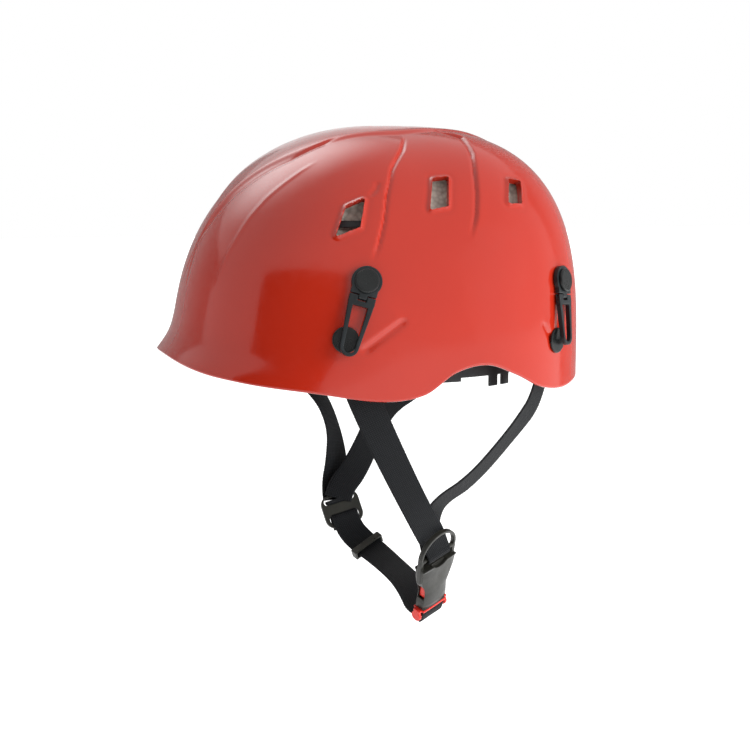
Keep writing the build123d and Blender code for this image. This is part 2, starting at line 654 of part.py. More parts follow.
# ---- buckle ------------------------------------------------------------------------------
BODY_DEPTH = 9.0
CAVITY_DEPTH = 5.4
BOW_BAR_R = 1.5
BOW_BAR_Y = 14.0
MALE_BAR_R = 1.6
MALE_BAR_Y = -32.2
BOW_LOOP_TILT = -30.0
MALE_LOOP_TILT = 70.0
WINDOW_Y = -12.6
WINDOW_LENGTH = 11.0
FLANGE_Y = -27.2
FLANGE_THICK = 1.2
POST_AT = 12.1
POST_THICK = 1.8
POST_EYE_R = 3.7
ARCH_HALF = 16.0
ARCH_RISE = 14.6
ARCH_WIRE = 1.9


def buckle_place(shape):
    return set_at(shape, BUCKLE_AT, BUCKLE_W, BUCKLE_N)


def rounded_outline(half_widths, depth, z0):
    """Symmetric plate through (y, half width) pairs, from bottom to top."""
    right = [(w, y) for y, w in half_widths]
    left = [(-w, y) for y, w in reversed(half_widths)]
    rim = Spline(*right)
    back = Spline(*left)
    ends = [Line(right[-1], left[0]), Line(left[-1], right[0])]
    return Pos(0, 0, z0) * extrude(make_face([rim, back] + ends), depth)


def buckle_female():
    outline = [(-27, 10.2), (-20, 10.8), (-13, 10.2), (-6, 12.4), (2, 14.8), (9, 15.2)]
    body = rounded_outline(outline, BODY_DEPTH, -BODY_DEPTH / 2)
    notch = Pos(0, 15.5, 0) * Cylinder(9.0, 30)
    mouth = [(-9.15, -30), (9.15, -30), (9.6, 1), (-9.6, 1)]
    cavity = Pos(0, 0, -CAVITY_DEPTH / 2) * prism(mouth, CAVITY_DEPTH)
    windows = []
    for sign in (-1, 1):
        windows.append(Pos(sign * 12.0, WINDOW_Y, 0.6) * Box(9.4, WINDOW_LENGTH, CAVITY_DEPTH + 1.2))
    lug = [(-3, 15.0), (6, 15.6), (14, 16.0), (20, 15.6)]
    frame = rounded_outline(lug, 3.2, -1.6)
    arch = Pos(0, 17.0, -1.6) * extrude(Ellipse(ARCH_HALF, ARCH_RISE).face(), 3.2)
    inside = Ellipse(ARCH_HALF - ARCH_WIRE, ARCH_RISE - ARCH_WIRE)
    hollow = Pos(0, 17.0, 0) * extrude(inside.face(), 30, both=True)
    hollow = hollow - (Pos(0, -30, 0) * Box(80, 80, 80))
    side_gap = Pos(0, 13.4, 0) * Box(26.2, 9.0, 40)
    bar = Pos(0, BOW_BAR_Y, 0) * Rot(0, 90, 0) * Cylinder(BOW_BAR_R, 27.4)
    ring = (frame + arch) - hollow - side_gap
    body = body - notch
    body = body.fuse(ring)
    body = body.cut(cavity, *windows, side_gap).fuse(bar)
    return buckle_place(body)


def buckle_male():
    flange_mid = FLANGE_Y - FLANGE_THICK / 2
    flange = Pos(0, flange_mid, 0) * Box(21.5, FLANGE_THICK, BODY_DEPTH)
    tongue = Pos(0, FLANGE_Y + 9.5, 0) * Box(4.0, 19.0, 3.0)
    bridge = Pos(0, flange_mid, 0) * Box(2 * POST_AT + POST_THICK, FLANGE_THICK, 5.6)
    bar = Pos(0, MALE_BAR_Y, 0) * Rot(0, 90, 0) * Cylinder(MALE_BAR_R, 2 * POST_AT)
    posts = []
    for sign in (-1, 1):
        eye = Pos(sign * POST_AT, MALE_BAR_Y, 0) * Rot(0, 90, 0) * Cylinder(POST_EYE_R, POST_THICK)
        stem_length = FLANGE_Y - MALE_BAR_Y
        stem = Pos(sign * POST_AT, MALE_BAR_Y + stem_length / 2, 0) * Box(POST_THICK, stem_length, 5.0)
        posts += [eye, stem]
    return buckle_place(flange.fuse(tongue, bridge, bar, *posts))


def latch_arm(sign):
    """Springy prong of the male half; sign is the side across the buckle."""
    root_y = FLANGE_Y + 0.3
    outline = [(4.0, root_y), (6.2, root_y), (6.9, -19.6), (9.0, -17.6), (9.0, -9.2), (7.7, -7.4),
               (5.6, -7.4), (4.6, -16.0)]
    if sign < 0:
        outline = [(-x, y) for x, y in outline]
    return buckle_place(Pos(0, 0, -2.4) * prism(outline, 4.8))


def bow_loop():
    return buckle_place(Pos(0, BOW_BAR_Y, 0) * web_loop(BOW_BAR_R, 1, BOW_LOOP_TILT))


def male_loop():
    return buckle_place(Pos(0, MALE_BAR_Y, 0) * web_loop(MALE_BAR_R, -1, MALE_LOOP_TILT))


# ---- divider and keeper ------------------------------------------------------------------
def divider_place(shape):
    return set_at(shape, DIVIDER_AT, DIVIDER_W, DIVIDER_N)


def strap_divider():
    plate = fillet(extrude(Rectangle(28.5, 24.0).face(), 3.0).edges().filter_by(Axis.Z), 7.0)
    upper = Pos(0, 7.6, -5) * extrude(fillet(Rectangle(23.6, 4.6).vertices(), 2.2), 20)
    lower = Pos(0, -5.6, -5) * extrude(fillet(Rectangle(22.6, 7.0).vertices(), 3.2), 20)
    plate = Pos(0, 0, -1.5) * plate
    return divider_place(plate.cut(upper, lower))


def strap_keeper():
    """Small loop that holds the folded end of the chin strap down."""
    stations, _ = strap_stations(STRAPS["chin_strap"])
    a, b = stations[KEEPER_STATION], stations[KEEPER_STATION + 1]
    at = (a[0] + b[0]) * 0.5
    heading = (b[0] - a[0]).normalized()
    face = (a[2] + b[2]).normalized()
    across = heading.cross(face).normalized()
    normal = across.cross(heading).normalized()
    outer = Box(WEB_WIDTH + 4.4, 5.5, WEB_THICK + 5.0)
    inner = Box(WEB_WIDTH + 1.6, 8.0, WEB_THICK + 2.6)
    return set_at(outer - inner, at, across, normal)


# ---- build -------------------------------------------------------------------------------
def main():
    os.makedirs("parts", exist_ok=True)
    write(outer_shell(), "outer_shell")
    write(foam_liner(), "foam_liner")
    write(liner_band(), "liner_band")
    write(crown_pad(), "crown_pad")
    write(front_headband(), "front_headband")
    write(brow_pad(), "brow_pad")
    write(adjuster_arm(1), "left_adjuster_arm")
    write(mirrored(adjuster_arm(-1)), "right_adjuster_arm")
    write(adjuster_housing(), "adjuster_housing")
    write(adjuster_cover(), "adjuster_cover")
    write(adjuster_pinion(), "adjuster_pinion")
    write(adjuster_knob(), "adjuster_knob")
    write(nape_pad(), "nape_pad")
    makers = {"clip_base": clip_base, "clip_loop": clip_loop, "clip_rivet": clip_rivet,
              "strap_anchor": strap_anchor}
    for place, clip in CLIPS.items():
        for name, maker in makers.items():
            piece = maker(clip)
            write(piece, f"left_{place}_{name}")
            write(mirrored(piece), f"right_{place}_{name}")
    for name in STRAPS:
        write(strap(name), name)
    write(buckle_female(), "buckle_female")
    write(buckle_male(), "buckle_male")
    write(latch_arm(-1), "front_latch_arm")
    write(latch_arm(1), "rear_latch_arm")
    write(bow_loop(), "bow_webbing_loop")
    write(male_loop(), "male_webbing_loop")
    write(strap_divider(), "strap_divider")
    write(strap_keeper(), "strap_keeper")


main()
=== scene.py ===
"""Climbing helmet: the visual model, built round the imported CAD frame."""
import json
from math import cos, pi, radians, sin

import bmesh
import bpy
import numpy as np
from mathutils import Matrix, Vector


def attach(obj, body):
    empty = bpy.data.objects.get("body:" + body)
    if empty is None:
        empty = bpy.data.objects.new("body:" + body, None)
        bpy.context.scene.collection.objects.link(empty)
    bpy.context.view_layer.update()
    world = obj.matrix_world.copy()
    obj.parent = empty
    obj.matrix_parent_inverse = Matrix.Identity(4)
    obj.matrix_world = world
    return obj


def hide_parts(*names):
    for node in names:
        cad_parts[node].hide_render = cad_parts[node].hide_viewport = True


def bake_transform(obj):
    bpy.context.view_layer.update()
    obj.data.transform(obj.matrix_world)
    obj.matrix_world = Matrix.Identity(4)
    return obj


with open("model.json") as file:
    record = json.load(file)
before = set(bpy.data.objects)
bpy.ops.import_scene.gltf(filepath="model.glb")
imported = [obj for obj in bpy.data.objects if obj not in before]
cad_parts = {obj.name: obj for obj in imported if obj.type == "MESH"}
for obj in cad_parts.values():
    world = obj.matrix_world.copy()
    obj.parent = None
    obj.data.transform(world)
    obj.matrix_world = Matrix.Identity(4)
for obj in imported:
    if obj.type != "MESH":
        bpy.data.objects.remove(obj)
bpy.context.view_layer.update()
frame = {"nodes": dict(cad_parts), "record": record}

MM = 0.001
WELD = 1e-6
rng = np.random.default_rng(11)
SCENE = bpy.context.scene

# ---- shell shape: the same driving sizes as the CAD, in millimetres ------------------------
HALF_WIDTH = 113.0
FRONT_REACH = 133.6
BACK_REACH = 132.3
CROWN_RISE = 146.6
WIDEST_Z = 7.5
PLAN_POWER = 2.31
MERIDIAN_POWER = {"front": 2.2, "side": 2.28, "back": 3.1}
SHELL_WALL = 2.8
BRIM_FLARE = 20.0
BRIM_Z = 13.0
BRIM_SOFT = 6.5
BRIM_SIDE_SHARE = 0.6
SKIRT_DROP = 60.0
SPINE_RISE = 1.6
SPINE_HALF_WIDTH = 34.0
SPINE_TIP_HALF_WIDTH = 4.0
SPINE_EDGE = 6.0
SPINE_FULL_Y = -50.0
SPINE_TIPS = {"front": (-124.0, 74.0), "back": (110.0, 120.0)}  # Y of each tip, and how far it widens over
SPINE_FADES = {"front": (-130.0, 30.0), "back": (100.0, 50.0)}  # the same for how the height fades
RELIEF_LOW_Z = 25.0
RELIEF_RISE = 40.0

# Lower edge of the shell: (Y, Z) points.
RIM = [(-160, 24.0), (-139, 10.5), (-113, 4.5), (-72, -1.0), (-31, -7.0), (-5, -4.0), (15, 8.5),
       (36, 12.0), (57, 4.5), (77, -5.0), (98, -8.5), (118, -6.5), (140, -3.5)]

# Vent corners, rivets and anchors: (degrees round from the front, degrees down from the crown).
VENTS = [
    [(67.9, 40.9), (61.2, 43.8), (58.8, 52.6), (66.7, 49.2)],
    [(98.1, 34.2), (105.8, 34.5), (100.6, 42.9), (92.8, 43.5)],
    [(131.5, 39.9), (136.8, 41.5), (130.4, 47.0), (124.6, 45.8)],
]
RIVETS = {"front": (69.2, 63.4), "rear": (139.2, 67.9)}
ANCHORS = {"front": (63.5, 79.5), "rear": (135.3, 83.6)}

# Folds in the shell: (degrees round from the front, degrees down) points, valley depth and width,
# then how far the side towards the front and the side towards the back stand proud, and the fade.
FOLDS = [
    {"line": [(101, 15.1), (89, 23), (79.9, 30.7), (76.5, 39.2), (75.0, 46.6), (73.0, 53.0), (70.5, 59.0)],
     "valley": 1.0, "width": 1.25, "front": 1.3, "back": 0.0, "fade": 22.0},
    {"line": [(140, 14.0), (140.0, 22.8), (127.3, 29.1), (118.8, 35.2), (113.9, 41.2), (110.2, 46.6),
              (105.3, 53.1)],
     "valley": 0.9, "width": 1.25, "front": 0.0, "back": 1.2, "fade": 18.0},
    {"line": [(3.5, 72), (0.4, 58.1), (4.7, 49.9), (11.6, 42.3), (18, 36.8), (27.4, 31), (37.5, 22.8),
              (47, 15.1)],
     "valley": 0.7, "width": 1.4, "front": 0.0, "back": 0.0, "fade": 10.0},
    {"line": [(22, 70.0), (23.8, 60.2), (25.4, 55.9), (27.4, 49.7), (30.7, 43.6), (36.3, 37.0), (44.0, 29.5)],
     "valley": -0.75, "width": 1.3, "front": 0.5, "back": 0.0, "fade": 9.0},
    {"line": [(82, 73.0), (75.5, 77.6), (67.5, 83.5)],
     "valley": 1.2, "width": 2.4, "front": 0.9, "back": 0.0, "fade": 7.0},
    {"line": [(129.0, 77.7), (131.0, 80.5), (133.5, 84.0)],
     "valley": 0.9, "width": 1.8, "front": 0.0, "back": 0.6, "fade": 6.0},
    {"line": [(69.5, 40.2), (72.0, 38.0), (73.0, 35.5)],
     "valley": 0.8, "width": 1.5, "front": 0.0, "back": 0.0, "fade": 5.0},
]
FOLD_ENDS = 0.16  # share of a fold's length over which each end fades away
VENT_LIP = 1.5
VENT_LIP_WIDTH = 1.15
VENT_DISH = 0.22
VENT_DISH_AT = 2.9
VENT_DISH_WIDTH = 1.5
VENT_CORNER = 1.3
RIVET_HOLE_R = 2.6
ANCHOR_HOLE_R = 3.2
HOLE_SIDES = 32
CUTTER_REACH = {"vent": 14.0, "hole": 9.0}
SPOKES = 560
RINGS = 200
INNER_RINGS = 60
CROWN_SHARES = (0.004, 0.012)  # the first two rings, as shares of the way from the crown to the edge
HALVINGS = 40  # rounds of the search for the edge


def rim_height(y):
    """Height of the shell's lower edge at each Y: a smooth curve through the RIM points."""
    ys, zs = np.array(RIM, float).T
    y = np.clip(y, ys[0], ys[-1])
    k = np.clip(np.searchsorted(ys, y, side="left") - 1, 0, len(ys) - 2)
    before, after = np.maximum(k - 1, 0), np.minimum(k + 2, len(ys) - 1)
    slope0 = (zs[k + 1] - zs[before]) / (ys[k + 1] - ys[before])
    slope1 = (zs[after] - zs[k]) / (ys[after] - ys[k])
    span = ys[k + 1] - ys[k]
    t = (y - ys[k]) / span
    return ((2 * t**3 - 3 * t**2 + 1) * zs[k] + (t**3 - 2 * t**2 + t) * span * slope0
            + (3 * t**2 - 2 * t**3) * zs[k + 1] + (t**3 - t**2) * span * slope1)


def ease(t):
    """Smooth step from 0 to 1."""
    t = np.clip(t, 0.0, 1.0)
    return t * t * (3 - 2 * t)


def spine_relief(x, y):
    """Height of the raised leaf-shaped panel that runs over the crown."""
    (front_tip, front_reach), (back_tip, back_reach) = SPINE_TIPS["front"], SPINE_TIPS["back"]
    (front_fade, front_soft), (back_fade, back_soft) = SPINE_FADES["front"], SPINE_FADES["back"]
    along = np.where(y < SPINE_FULL_Y, ease((y - front_tip) / front_reach), ease((back_tip - y) / back_reach))
    half = SPINE_TIP_HALF_WIDTH + (SPINE_HALF_WIDTH - SPINE_TIP_HALF_WIDTH) * along
    across = ease((half + SPINE_EDGE / 2 - np.abs(x)) / SPINE_EDGE)
    return SPINE_RISE * across * ease((y - front_fade) / front_soft) * ease((back_fade - y) / back_soft)


def shell_points(around, down, inset=0.0, relief=True):
    """Points of the shell family: angle round from the front, angle down from the crown, wall inset."""
    front, side = np.cos(around), np.sin(around)
    reach = np.where(front > 0, FRONT_REACH, BACK_REACH) - inset
    plan = ((np.abs(side) / (HALF_WIDTH - inset))**PLAN_POWER
            + (np.abs(front) / reach)**PLAN_POWER)**(-1 / PLAN_POWER)
    power = (MERIDIAN_POWER["side"] * side**2
             + np.where(front > 0, MERIDIAN_POWER["front"], MERIDIAN_POWER["back"]) * front**2)
    rise = CROWN_RISE - inset
    steep = np.minimum(down, pi / 2)
    radius = ((np.sin(steep) / plan)**power + (np.maximum(np.cos(steep), 0) / rise)**power)**(-1 / power)
    below = down > pi / 2
    out = np.where(below, plan, radius * np.sin(steep))
    z = np.where(below, WIDEST_Z - (down - pi / 2) * SKIRT_DROP, radius * np.cos(steep) + WIDEST_Z)
    x, y = out * side, -out * front
    if relief:
        scale = 1 + spine_relief(x, y) / np.hypot(out, z - WIDEST_Z) * ease((z - RELIEF_LOW_Z) / RELIEF_RISE)
        x, y, z = x * scale, y * scale, WIDEST_Z + (z - WIDEST_Z) * scale
    flare = BRIM_FLARE * np.maximum(front, 0.0)**2 / (1 + np.exp((z - BRIM_Z) / BRIM_SOFT))
    return np.stack([x + BRIM_SIDE_SHARE * flare * side, y - flare, z], -1)


def on_shell(spots, relief=True):
    """Points of the outer surface at spots given in degrees: round from the front, down from the crown."""
    spots = np.radians(np.atleast_2d(spots))
    return shell_points(spots[:, 0], spots[:, 1], relief=relief)


def edge_angle(around, inset):
    """How far down from the crown each meridian meets the lower edge, found by halving."""
    high, low = np.full_like(around, radians(20)), np.full_like(around, radians(150))
    for _ in range(HALVINGS):
        middle = (high + low) / 2
        spots = shell_points(around, middle, inset)
        inside = spots[:, 2] > rim_height(spots[:, 1])
        high, low = np.where(inside, middle, high), np.where(inside, low, middle)
    return high


# ---- small makers ----------------------------------------------------------------------------
def linked(name, data):
    """New object in the scene for some data."""
    obj = bpy.data.objects.new(name, data)
    SCENE.collection.objects.link(obj)
    return obj


def mesh_object(name, points, faces):
    """Mesh object from points in metres."""
    mesh = bpy.data.meshes.new(name)
    mesh.from_pydata([tuple(p) for p in points], [], [tuple(f) for f in faces])
    mesh.update()
    return linked(name, mesh)


def baked(obj):
    """Replace an object's mesh with the result of its modifiers."""
    bpy.context.view_layer.update()
    depsgraph = bpy.context.evaluated_depsgraph_get()
    mesh = bpy.data.meshes.new_from_object(obj.evaluated_get(depsgraph))
    obj.modifiers.clear()
    old = obj.data
    obj.data = mesh
    bpy.data.meshes.remove(old)
    return obj


def finish_piece(obj, material, body, replaced=(), sharp=None):
    """Give a piece its material and body, and hide the CAD nodes it stands for."""
    obj.data.materials.clear()
    obj.data.materials.append(material)
    obj.data.shade_smooth()
    if sharp:
        obj.data.set_sharp_from_angle(angle=radians(sharp))
    if body:
        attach(obj, body)
    if replaced:
        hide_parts(*replaced)
    return obj


def body_of(node):
    """Name of the body that a CAD node belongs to."""
    for body, nodes in frame["record"]["behaviour"]["bodies"].items():
        if node in nodes:
            return body
    raise ValueError(node)


def outward(mesh, weld=None):
    """Turn a closed mesh's faces outward, after welding points that lie within a distance."""
    work = bmesh.new()
    work.from_mesh(mesh)
    if weld:
        bmesh.ops.remove_doubles(work, verts=work.verts, dist=weld)
    bmesh.ops.recalc_face_normals(work, faces=work.faces)
    work.to_mesh(mesh)
    work.free()


def softened(node, name, voxel, rounds):
    """New object from a welded copy of a CAD node's mesh, with every edge softened to a small radius."""
    mesh = frame["nodes"][node].data.copy()
    outward(mesh, weld=WELD)
    obj = linked(name, mesh)
    remesh = obj.modifiers.new("skin", "REMESH")
    remesh.mode = "VOXEL"
    remesh.voxel_size = voxel * MM
    soften = obj.modifiers.new("soften", "SMOOTH")
    soften.factor = 0.5
    soften.iterations = rounds
    return baked(obj)


def moulded(node, name, voxel, rounds, slot, shape=None):
    """A moulded part from its CAD form, in its slot's look."""
    obj = softened(node, name, voxel, rounds)
    if shape:
        write_points(obj, shape(read_points(obj)))
    return finish_piece(obj, LOOKS[slot], body_of(node), (node,))


def read_points(obj):
    """Points of an object's mesh, in metres."""
    flat = np.empty(len(obj.data.vertices) * 3, np.float32)
    obj.data.vertices.foreach_get("co", flat)
    return flat.reshape(-1, 3).astype(float)


def write_points(obj, points):
    """Move an object's mesh to new points, in metres."""
    obj.data.vertices.foreach_set("co", points.astype(np.float32).ravel())
    obj.data.update()


# ---- materials -------------------------------------------------------------------------------
GRAIN = 900.0
YARN_ROW = 0.0011
YARN_TWILL = 0.0014
YARN_SLANT = 0.0022


class Look:
    """A procedural material and the few node recipes it is made of."""

    def __init__(self, name, roughness):
        self.material = bpy.data.materials.new(name)
        self.material.use_nodes = True
        self.tree = self.material.node_tree
        self.shader = self.tree.nodes["Principled BSDF"]
        self.shader.inputs["Roughness"].default_value = roughness
        self.coords = self.tree.nodes.new("ShaderNodeTexCoord").outputs["Object"]

    def link(self, output, target):
        """Join a node's output to an input."""
        self.tree.links.new(output, target)

    def noise(self, scale, detail=3.0, rough=0.5):
        """Cloudy noise from 0 to 1."""
        node = self.tree.nodes.new("ShaderNodeTexNoise")
        node.inputs["Scale"].default_value = scale
        node.inputs["Detail"].default_value = detail
        node.inputs["Roughness"].default_value = rough
        self.link(self.coords, node.inputs["Vector"])
        return node.outputs["Fac"]

    def cells(self, scale):
        """Distance from the middle of each cell of a scattered pattern."""
        node = self.tree.nodes.new("ShaderNodeTexVoronoi")
        node.inputs["Scale"].default_value = scale
        self.link(self.coords, node.inputs["Vector"])
        return node.outputs["Distance"]

    def between(self, value, low, high, at=(0.3, 0.7)):
        """Colour that runs from low to high as the value crosses the two positions."""
        node = self.tree.nodes.new("ShaderNodeValToRGB")
        node.color_ramp.elements[0].position = at[0]
        node.color_ramp.elements[1].position = at[1]
        node.color_ramp.elements[0].color = (*low, 1)
        node.color_ramp.elements[1].color = (*high, 1)
        self.link(value, node.inputs["Fac"])
        return node.outputs["Color"]

    def level(self, value, low, high, at=(0.0, 1.0)):
        """Number that runs from low to high as the value crosses the two positions."""
        node = self.tree.nodes.new("ShaderNodeMapRange")
        node.inputs["From Min"].default_value = at[0]
        node.inputs["From Max"].default_value = at[1]
        node.inputs["To Min"].default_value = low
        node.inputs["To Max"].default_value = high
        self.link(value, node.inputs["Value"])
        return node.outputs["Result"]

    def sum(self, *values):
        """Sum of two or more values."""
        total = values[0]
        for value in values[1:]:
            node = self.tree.nodes.new("ShaderNodeMath")
            node.operation = "ADD"
            self.link(total, node.inputs[0])
            self.link(value, node.inputs[1])
            total = node.outputs[0]
        return total

    def bump(self, height, distance, strength):
        """Raise the surface by a height, at a distance in metres."""
        node = self.tree.nodes.new("ShaderNodeBump")
        node.inputs["Distance"].default_value = distance
        node.inputs["Strength"].default_value = strength
        self.link(height, node.inputs["Height"])
        self.link(node.outputs["Normal"], self.shader.inputs["Normal"])

    def colour(self, output):
        """Use an output as the surface's colour."""
        self.link(output, self.shader.inputs["Base Color"])

    def roughness(self, output):
        """Use an output as the surface's roughness."""
        self.link(output, self.shader.inputs["Roughness"])


def shell_look():
    """Glossy moulded plastic with faint clouding, handling marks and a slight ripple."""
    look = Look("glossy_red_shell", 0.16)
    cloud = look.noise(9.0, 2.0)
    look.colour(look.between(cloud, (0.32, 0.0145, 0.0052), (0.36, 0.018, 0.0065)))
    scuff = look.noise(140.0, 6.0, 0.7)
    look.roughness(look.level(scuff, 0.10, 0.24, (0.35, 0.75)))
    look.bump(look.sum(look.noise(420.0, 2.0), look.level(look.noise(55.0, 1.0), 0.0, 3.0)), 0.00003, 0.35)
    look.shader.inputs["Coat Weight"].default_value = 0.08
    look.shader.inputs["Coat Roughness"].default_value = 0.05
    look.shader.inputs["IOR"].default_value = 1.46
    return look.material


def satin_look(name, dark, light, roughness):
    """Moulded plastic with a fine spark-eroded grain and slight wear."""
    look = Look(name, roughness)
    look.colour(look.between(look.noise(60.0, 4.0), dark, light, (0.35, 0.7)))
    look.roughness(look.level(look.noise(180.0, 5.0, 0.65), roughness - 0.10, roughness + 0.12, (0.3, 0.7)))
    look.shader.inputs["Specular IOR Level"].default_value = 0.32
    look.bump(look.sum(look.noise(GRAIN, 3.0), look.noise(GRAIN * 2.7, 2.0)), 0.00006, 0.5)
    return look.material


def foam_look():
    """Expanded foam: fused beads, coloured darker towards each bead's edge as painted shade in the creases
    between them.
    """
    look = Look("expanded_foam", 0.85)
    beads = look.cells(330.0)
    # Colour darkens with distance from each bead's middle: painted shade in the creases between beads, plus
    # random tone from the noise.
    look.colour(look.between(look.sum(look.level(beads, 0.0, 0.7), look.level(look.noise(40.0), 0.0, 0.3)),
                             (0.50, 0.46, 0.40), (0.27, 0.245, 0.21), (0.25, 0.75)))
    look.bump(look.level(beads, 1.0, 0.0), 0.0006, 0.8)
    return look.material


def fabric_look():
    """Brushed knit over foam."""
    look = Look("pad_knit", 0.9)
    stitch = look.cells(1300.0)
    # Colour darkens towards each stitch cell's edge: painted shade in the gaps between the knit loops, plus
    # random tone from the noise.
    look.colour(look.between(look.sum(look.level(stitch, 0.0, 0.6), look.level(look.noise(120.0), 0.0, 0.4)),
                             (0.030, 0.031, 0.034), (0.010, 0.010, 0.012), (0.2, 0.8)))
    look.bump(look.level(stitch, 1.0, 0.0), 0.0003, 0.8)
    look.shader.inputs["Sheen Weight"].default_value = 0.5
    look.shader.inputs["Sheen Roughness"].default_value = 0.5
    return look.material


def webbing_look():
    """Flat woven polyester: rows of yarn from the strap's own map, in metres."""
    look = Look("black_webbing", 0.62)
    uv = look.tree.nodes.new("ShaderNodeUVMap")
    uv.uv_map = "weave"
    split = look.tree.nodes.new("ShaderNodeSeparateXYZ")
    look.link(uv.outputs["UV"], split.inputs["Vector"])

    def wave(output, per_unit, phase=None):
        """Sine of a value times a factor, with a phase that may vary."""
        scaled = look.tree.nodes.new("ShaderNodeMath")
        scaled.operation = "MULTIPLY_ADD"
        scaled.inputs[1].default_value = per_unit
        scaled.inputs[2].default_value = 0.0
        look.link(output, scaled.inputs[0])
        if phase:
            look.link(phase, scaled.inputs[2])
        node = look.tree.nodes.new("ShaderNodeMath")
        node.operation = "SINE"
        look.link(scaled.outputs[0], node.inputs[0])
        return node.outputs[0]

    rows = wave(split.outputs["Y"], 2 * pi / YARN_ROW)
    slant = look.level(split.outputs["Y"], 0.0, 2 * pi, (0.0, YARN_SLANT))
    twill = wave(split.outputs["X"], 2 * pi / YARN_TWILL, slant)
    yarn = look.sum(look.level(rows, 0.0, 0.5, (-1.0, 1.0)), look.level(twill, 0.0, 0.5, (-1.0, 1.0)))
    fuzz = look.noise(700.0, 4.0, 0.6)
    # Lighter on the yarn crests and darker in the hollows between them: painted shade that follows the yarn
    # bumps; the fuzz noise adds random tone.
    look.colour(look.between(look.sum(look.level(yarn, 0.0, 0.75), look.level(fuzz, 0.0, 0.25)),
                             (0.0015, 0.0018, 0.0022), (0.011, 0.012, 0.014), (0.25, 0.9)))
    look.bump(look.sum(yarn, look.level(fuzz, 0.0, 0.4)), 0.0003, 0.75)
    look.shader.inputs["Specular IOR Level"].default_value = 0.16
    return look.material


LOOKS = {
    "shell": shell_look(),
    "foam": foam_look(),
    "padding": fabric_look(),
    "webbing": webbing_look(),
    "black_plastic": satin_look("black_nylon", (0.006, 0.006, 0.007), (0.013, 0.013, 0.014), 0.45),
    "nylon": satin_look("gear_nylon", (0.09, 0.09, 0.088), (0.13, 0.13, 0.125), 0.4),
    "clip_plastic": satin_look("clip_nylon", (0.006, 0.008, 0.009), (0.013, 0.016, 0.018), 0.34),
    "rivet_plastic": satin_look("rivet_nylon", (0.004, 0.005, 0.005), (0.009, 0.010, 0.010), 0.30),
    "buckle_plastic": satin_look("buckle_acetal", (0.011, 0.011, 0.009), (0.020, 0.020, 0.016), 0.36),
    "red_plastic": satin_look("red_acetal", (0.55, 0.022, 0.014), (0.66, 0.032, 0.020), 0.30),
}


# ---- outer shell -----------------------------------------------------------------------------
def line_distance(points, line):
    """Distance of every point from a polyline, and where its nearest spot lies along it (0 to 1)."""
    best = np.full(len(points), 1e9)
    nearest = np.zeros((len(points), 3))
    heading = np.zeros((len(points), 3))
    along = np.zeros(len(points))
    runs = np.linalg.norm(np.diff(line, axis=0), axis=1)
    done = 0.0
    for a, b, run in zip(line[:-1], line[1:], runs):
        t = np.clip(((points - a) @ (b - a)) / run**2, 0.0, 1.0)
        spot = a + t[:, None] * (b - a)
        gap = np.linalg.norm(points - spot, axis=1)
        closer = gap < best
        best = np.where(closer, gap, best)
        nearest[closer] = spot[closer]
        heading[closer] = (b - a) / run
        along = np.where(closer, (done + t * run) / runs.sum(), along)
        done += run
    return best, along, nearest, heading


def rounded_polygon(corners, radius, steps=5):
    """Closed outline with each corner turned into an arc."""
    outline = []
    for k, corner in enumerate(corners):
        before, after = corners[k - 1], corners[(k + 1) % len(corners)]
        into = (corner - before) / np.linalg.norm(corner - before)
        away = (after - corner) / np.linalg.norm(after - corner)
        turn = np.arccos(np.clip(into @ away, -1, 1))
        cut = radius * np.tan(turn / 2)
        start, end = corner - into * cut, corner + away * cut
        for step in range(steps + 1):
            t = step / steps
            outline.append((1 - t)**2 * start + 2 * t * (1 - t) * corner + t**2 * end)
    return np.array(outline)


def vent_outline(corners):
    """Rounded outline of a vent on the outer surface."""
    return rounded_polygon(on_shell(corners), VENT_CORNER)


def relief_heights(points, normals):
    """How far folds, lips and seats lift or sink each point of the outer surface, in millimetres."""
    folded = np.abs(points[:, 0])
    flat = np.column_stack([folded, points[:, 1], points[:, 2]])
    away = np.column_stack([np.where(points[:, 0] < 0, -normals[:, 0], normals[:, 0]),
                            normals[:, 1], normals[:, 2]])
    lift = np.zeros(len(points))
    for fold in FOLDS:
        line = on_shell(fold["line"])
        gap, along, nearest, heading = line_distance(flat, line)
        ends = ease(along / FOLD_ENDS) * ease((1 - along) / FOLD_ENDS)
        across = np.cross(heading, away)
        side = np.einsum("ij,ij->i", flat - nearest, across)
        stand = np.where(side > 0, fold["front"], fold["back"])
        lift -= ends * fold["valley"] * np.exp(-(gap / fold["width"])**2)
        lift += ends * stand * np.exp(-gap / fold["fade"]) * ease(gap / fold["width"] / 1.4)
    for corners in VENTS:
        outline = vent_outline(corners)
        gap = line_distance(flat, np.vstack([outline, outline[:1]]))[0]
        lift += VENT_LIP * np.exp(-(gap / VENT_LIP_WIDTH)**2)
        lift -= VENT_DISH * np.exp(-((gap - VENT_DISH_AT) / VENT_DISH_WIDTH)**2)
    return lift


def grid_normals(grid):
    """Outward normals of a polar grid of points."""
    around = np.roll(grid, -1, axis=1) - np.roll(grid, 1, axis=1)
    down = np.gradient(grid, axis=0)
    normal = np.cross(down, around)
    return normal / np.maximum(np.linalg.norm(normal, axis=-1, keepdims=True), 1e-9)


def polar_grid(inset, rings):
    """Rings of points from the crown to the lower edge."""
    around = 2 * pi * np.arange(SPOKES) / SPOKES
    reach = edge_angle(around, inset)
    shares = np.concatenate([CROWN_SHARES[:1], np.linspace(CROWN_SHARES[1], 1.0, rings - 1)])
    return np.stack([shell_points(around, share * reach, inset) for share in shares])


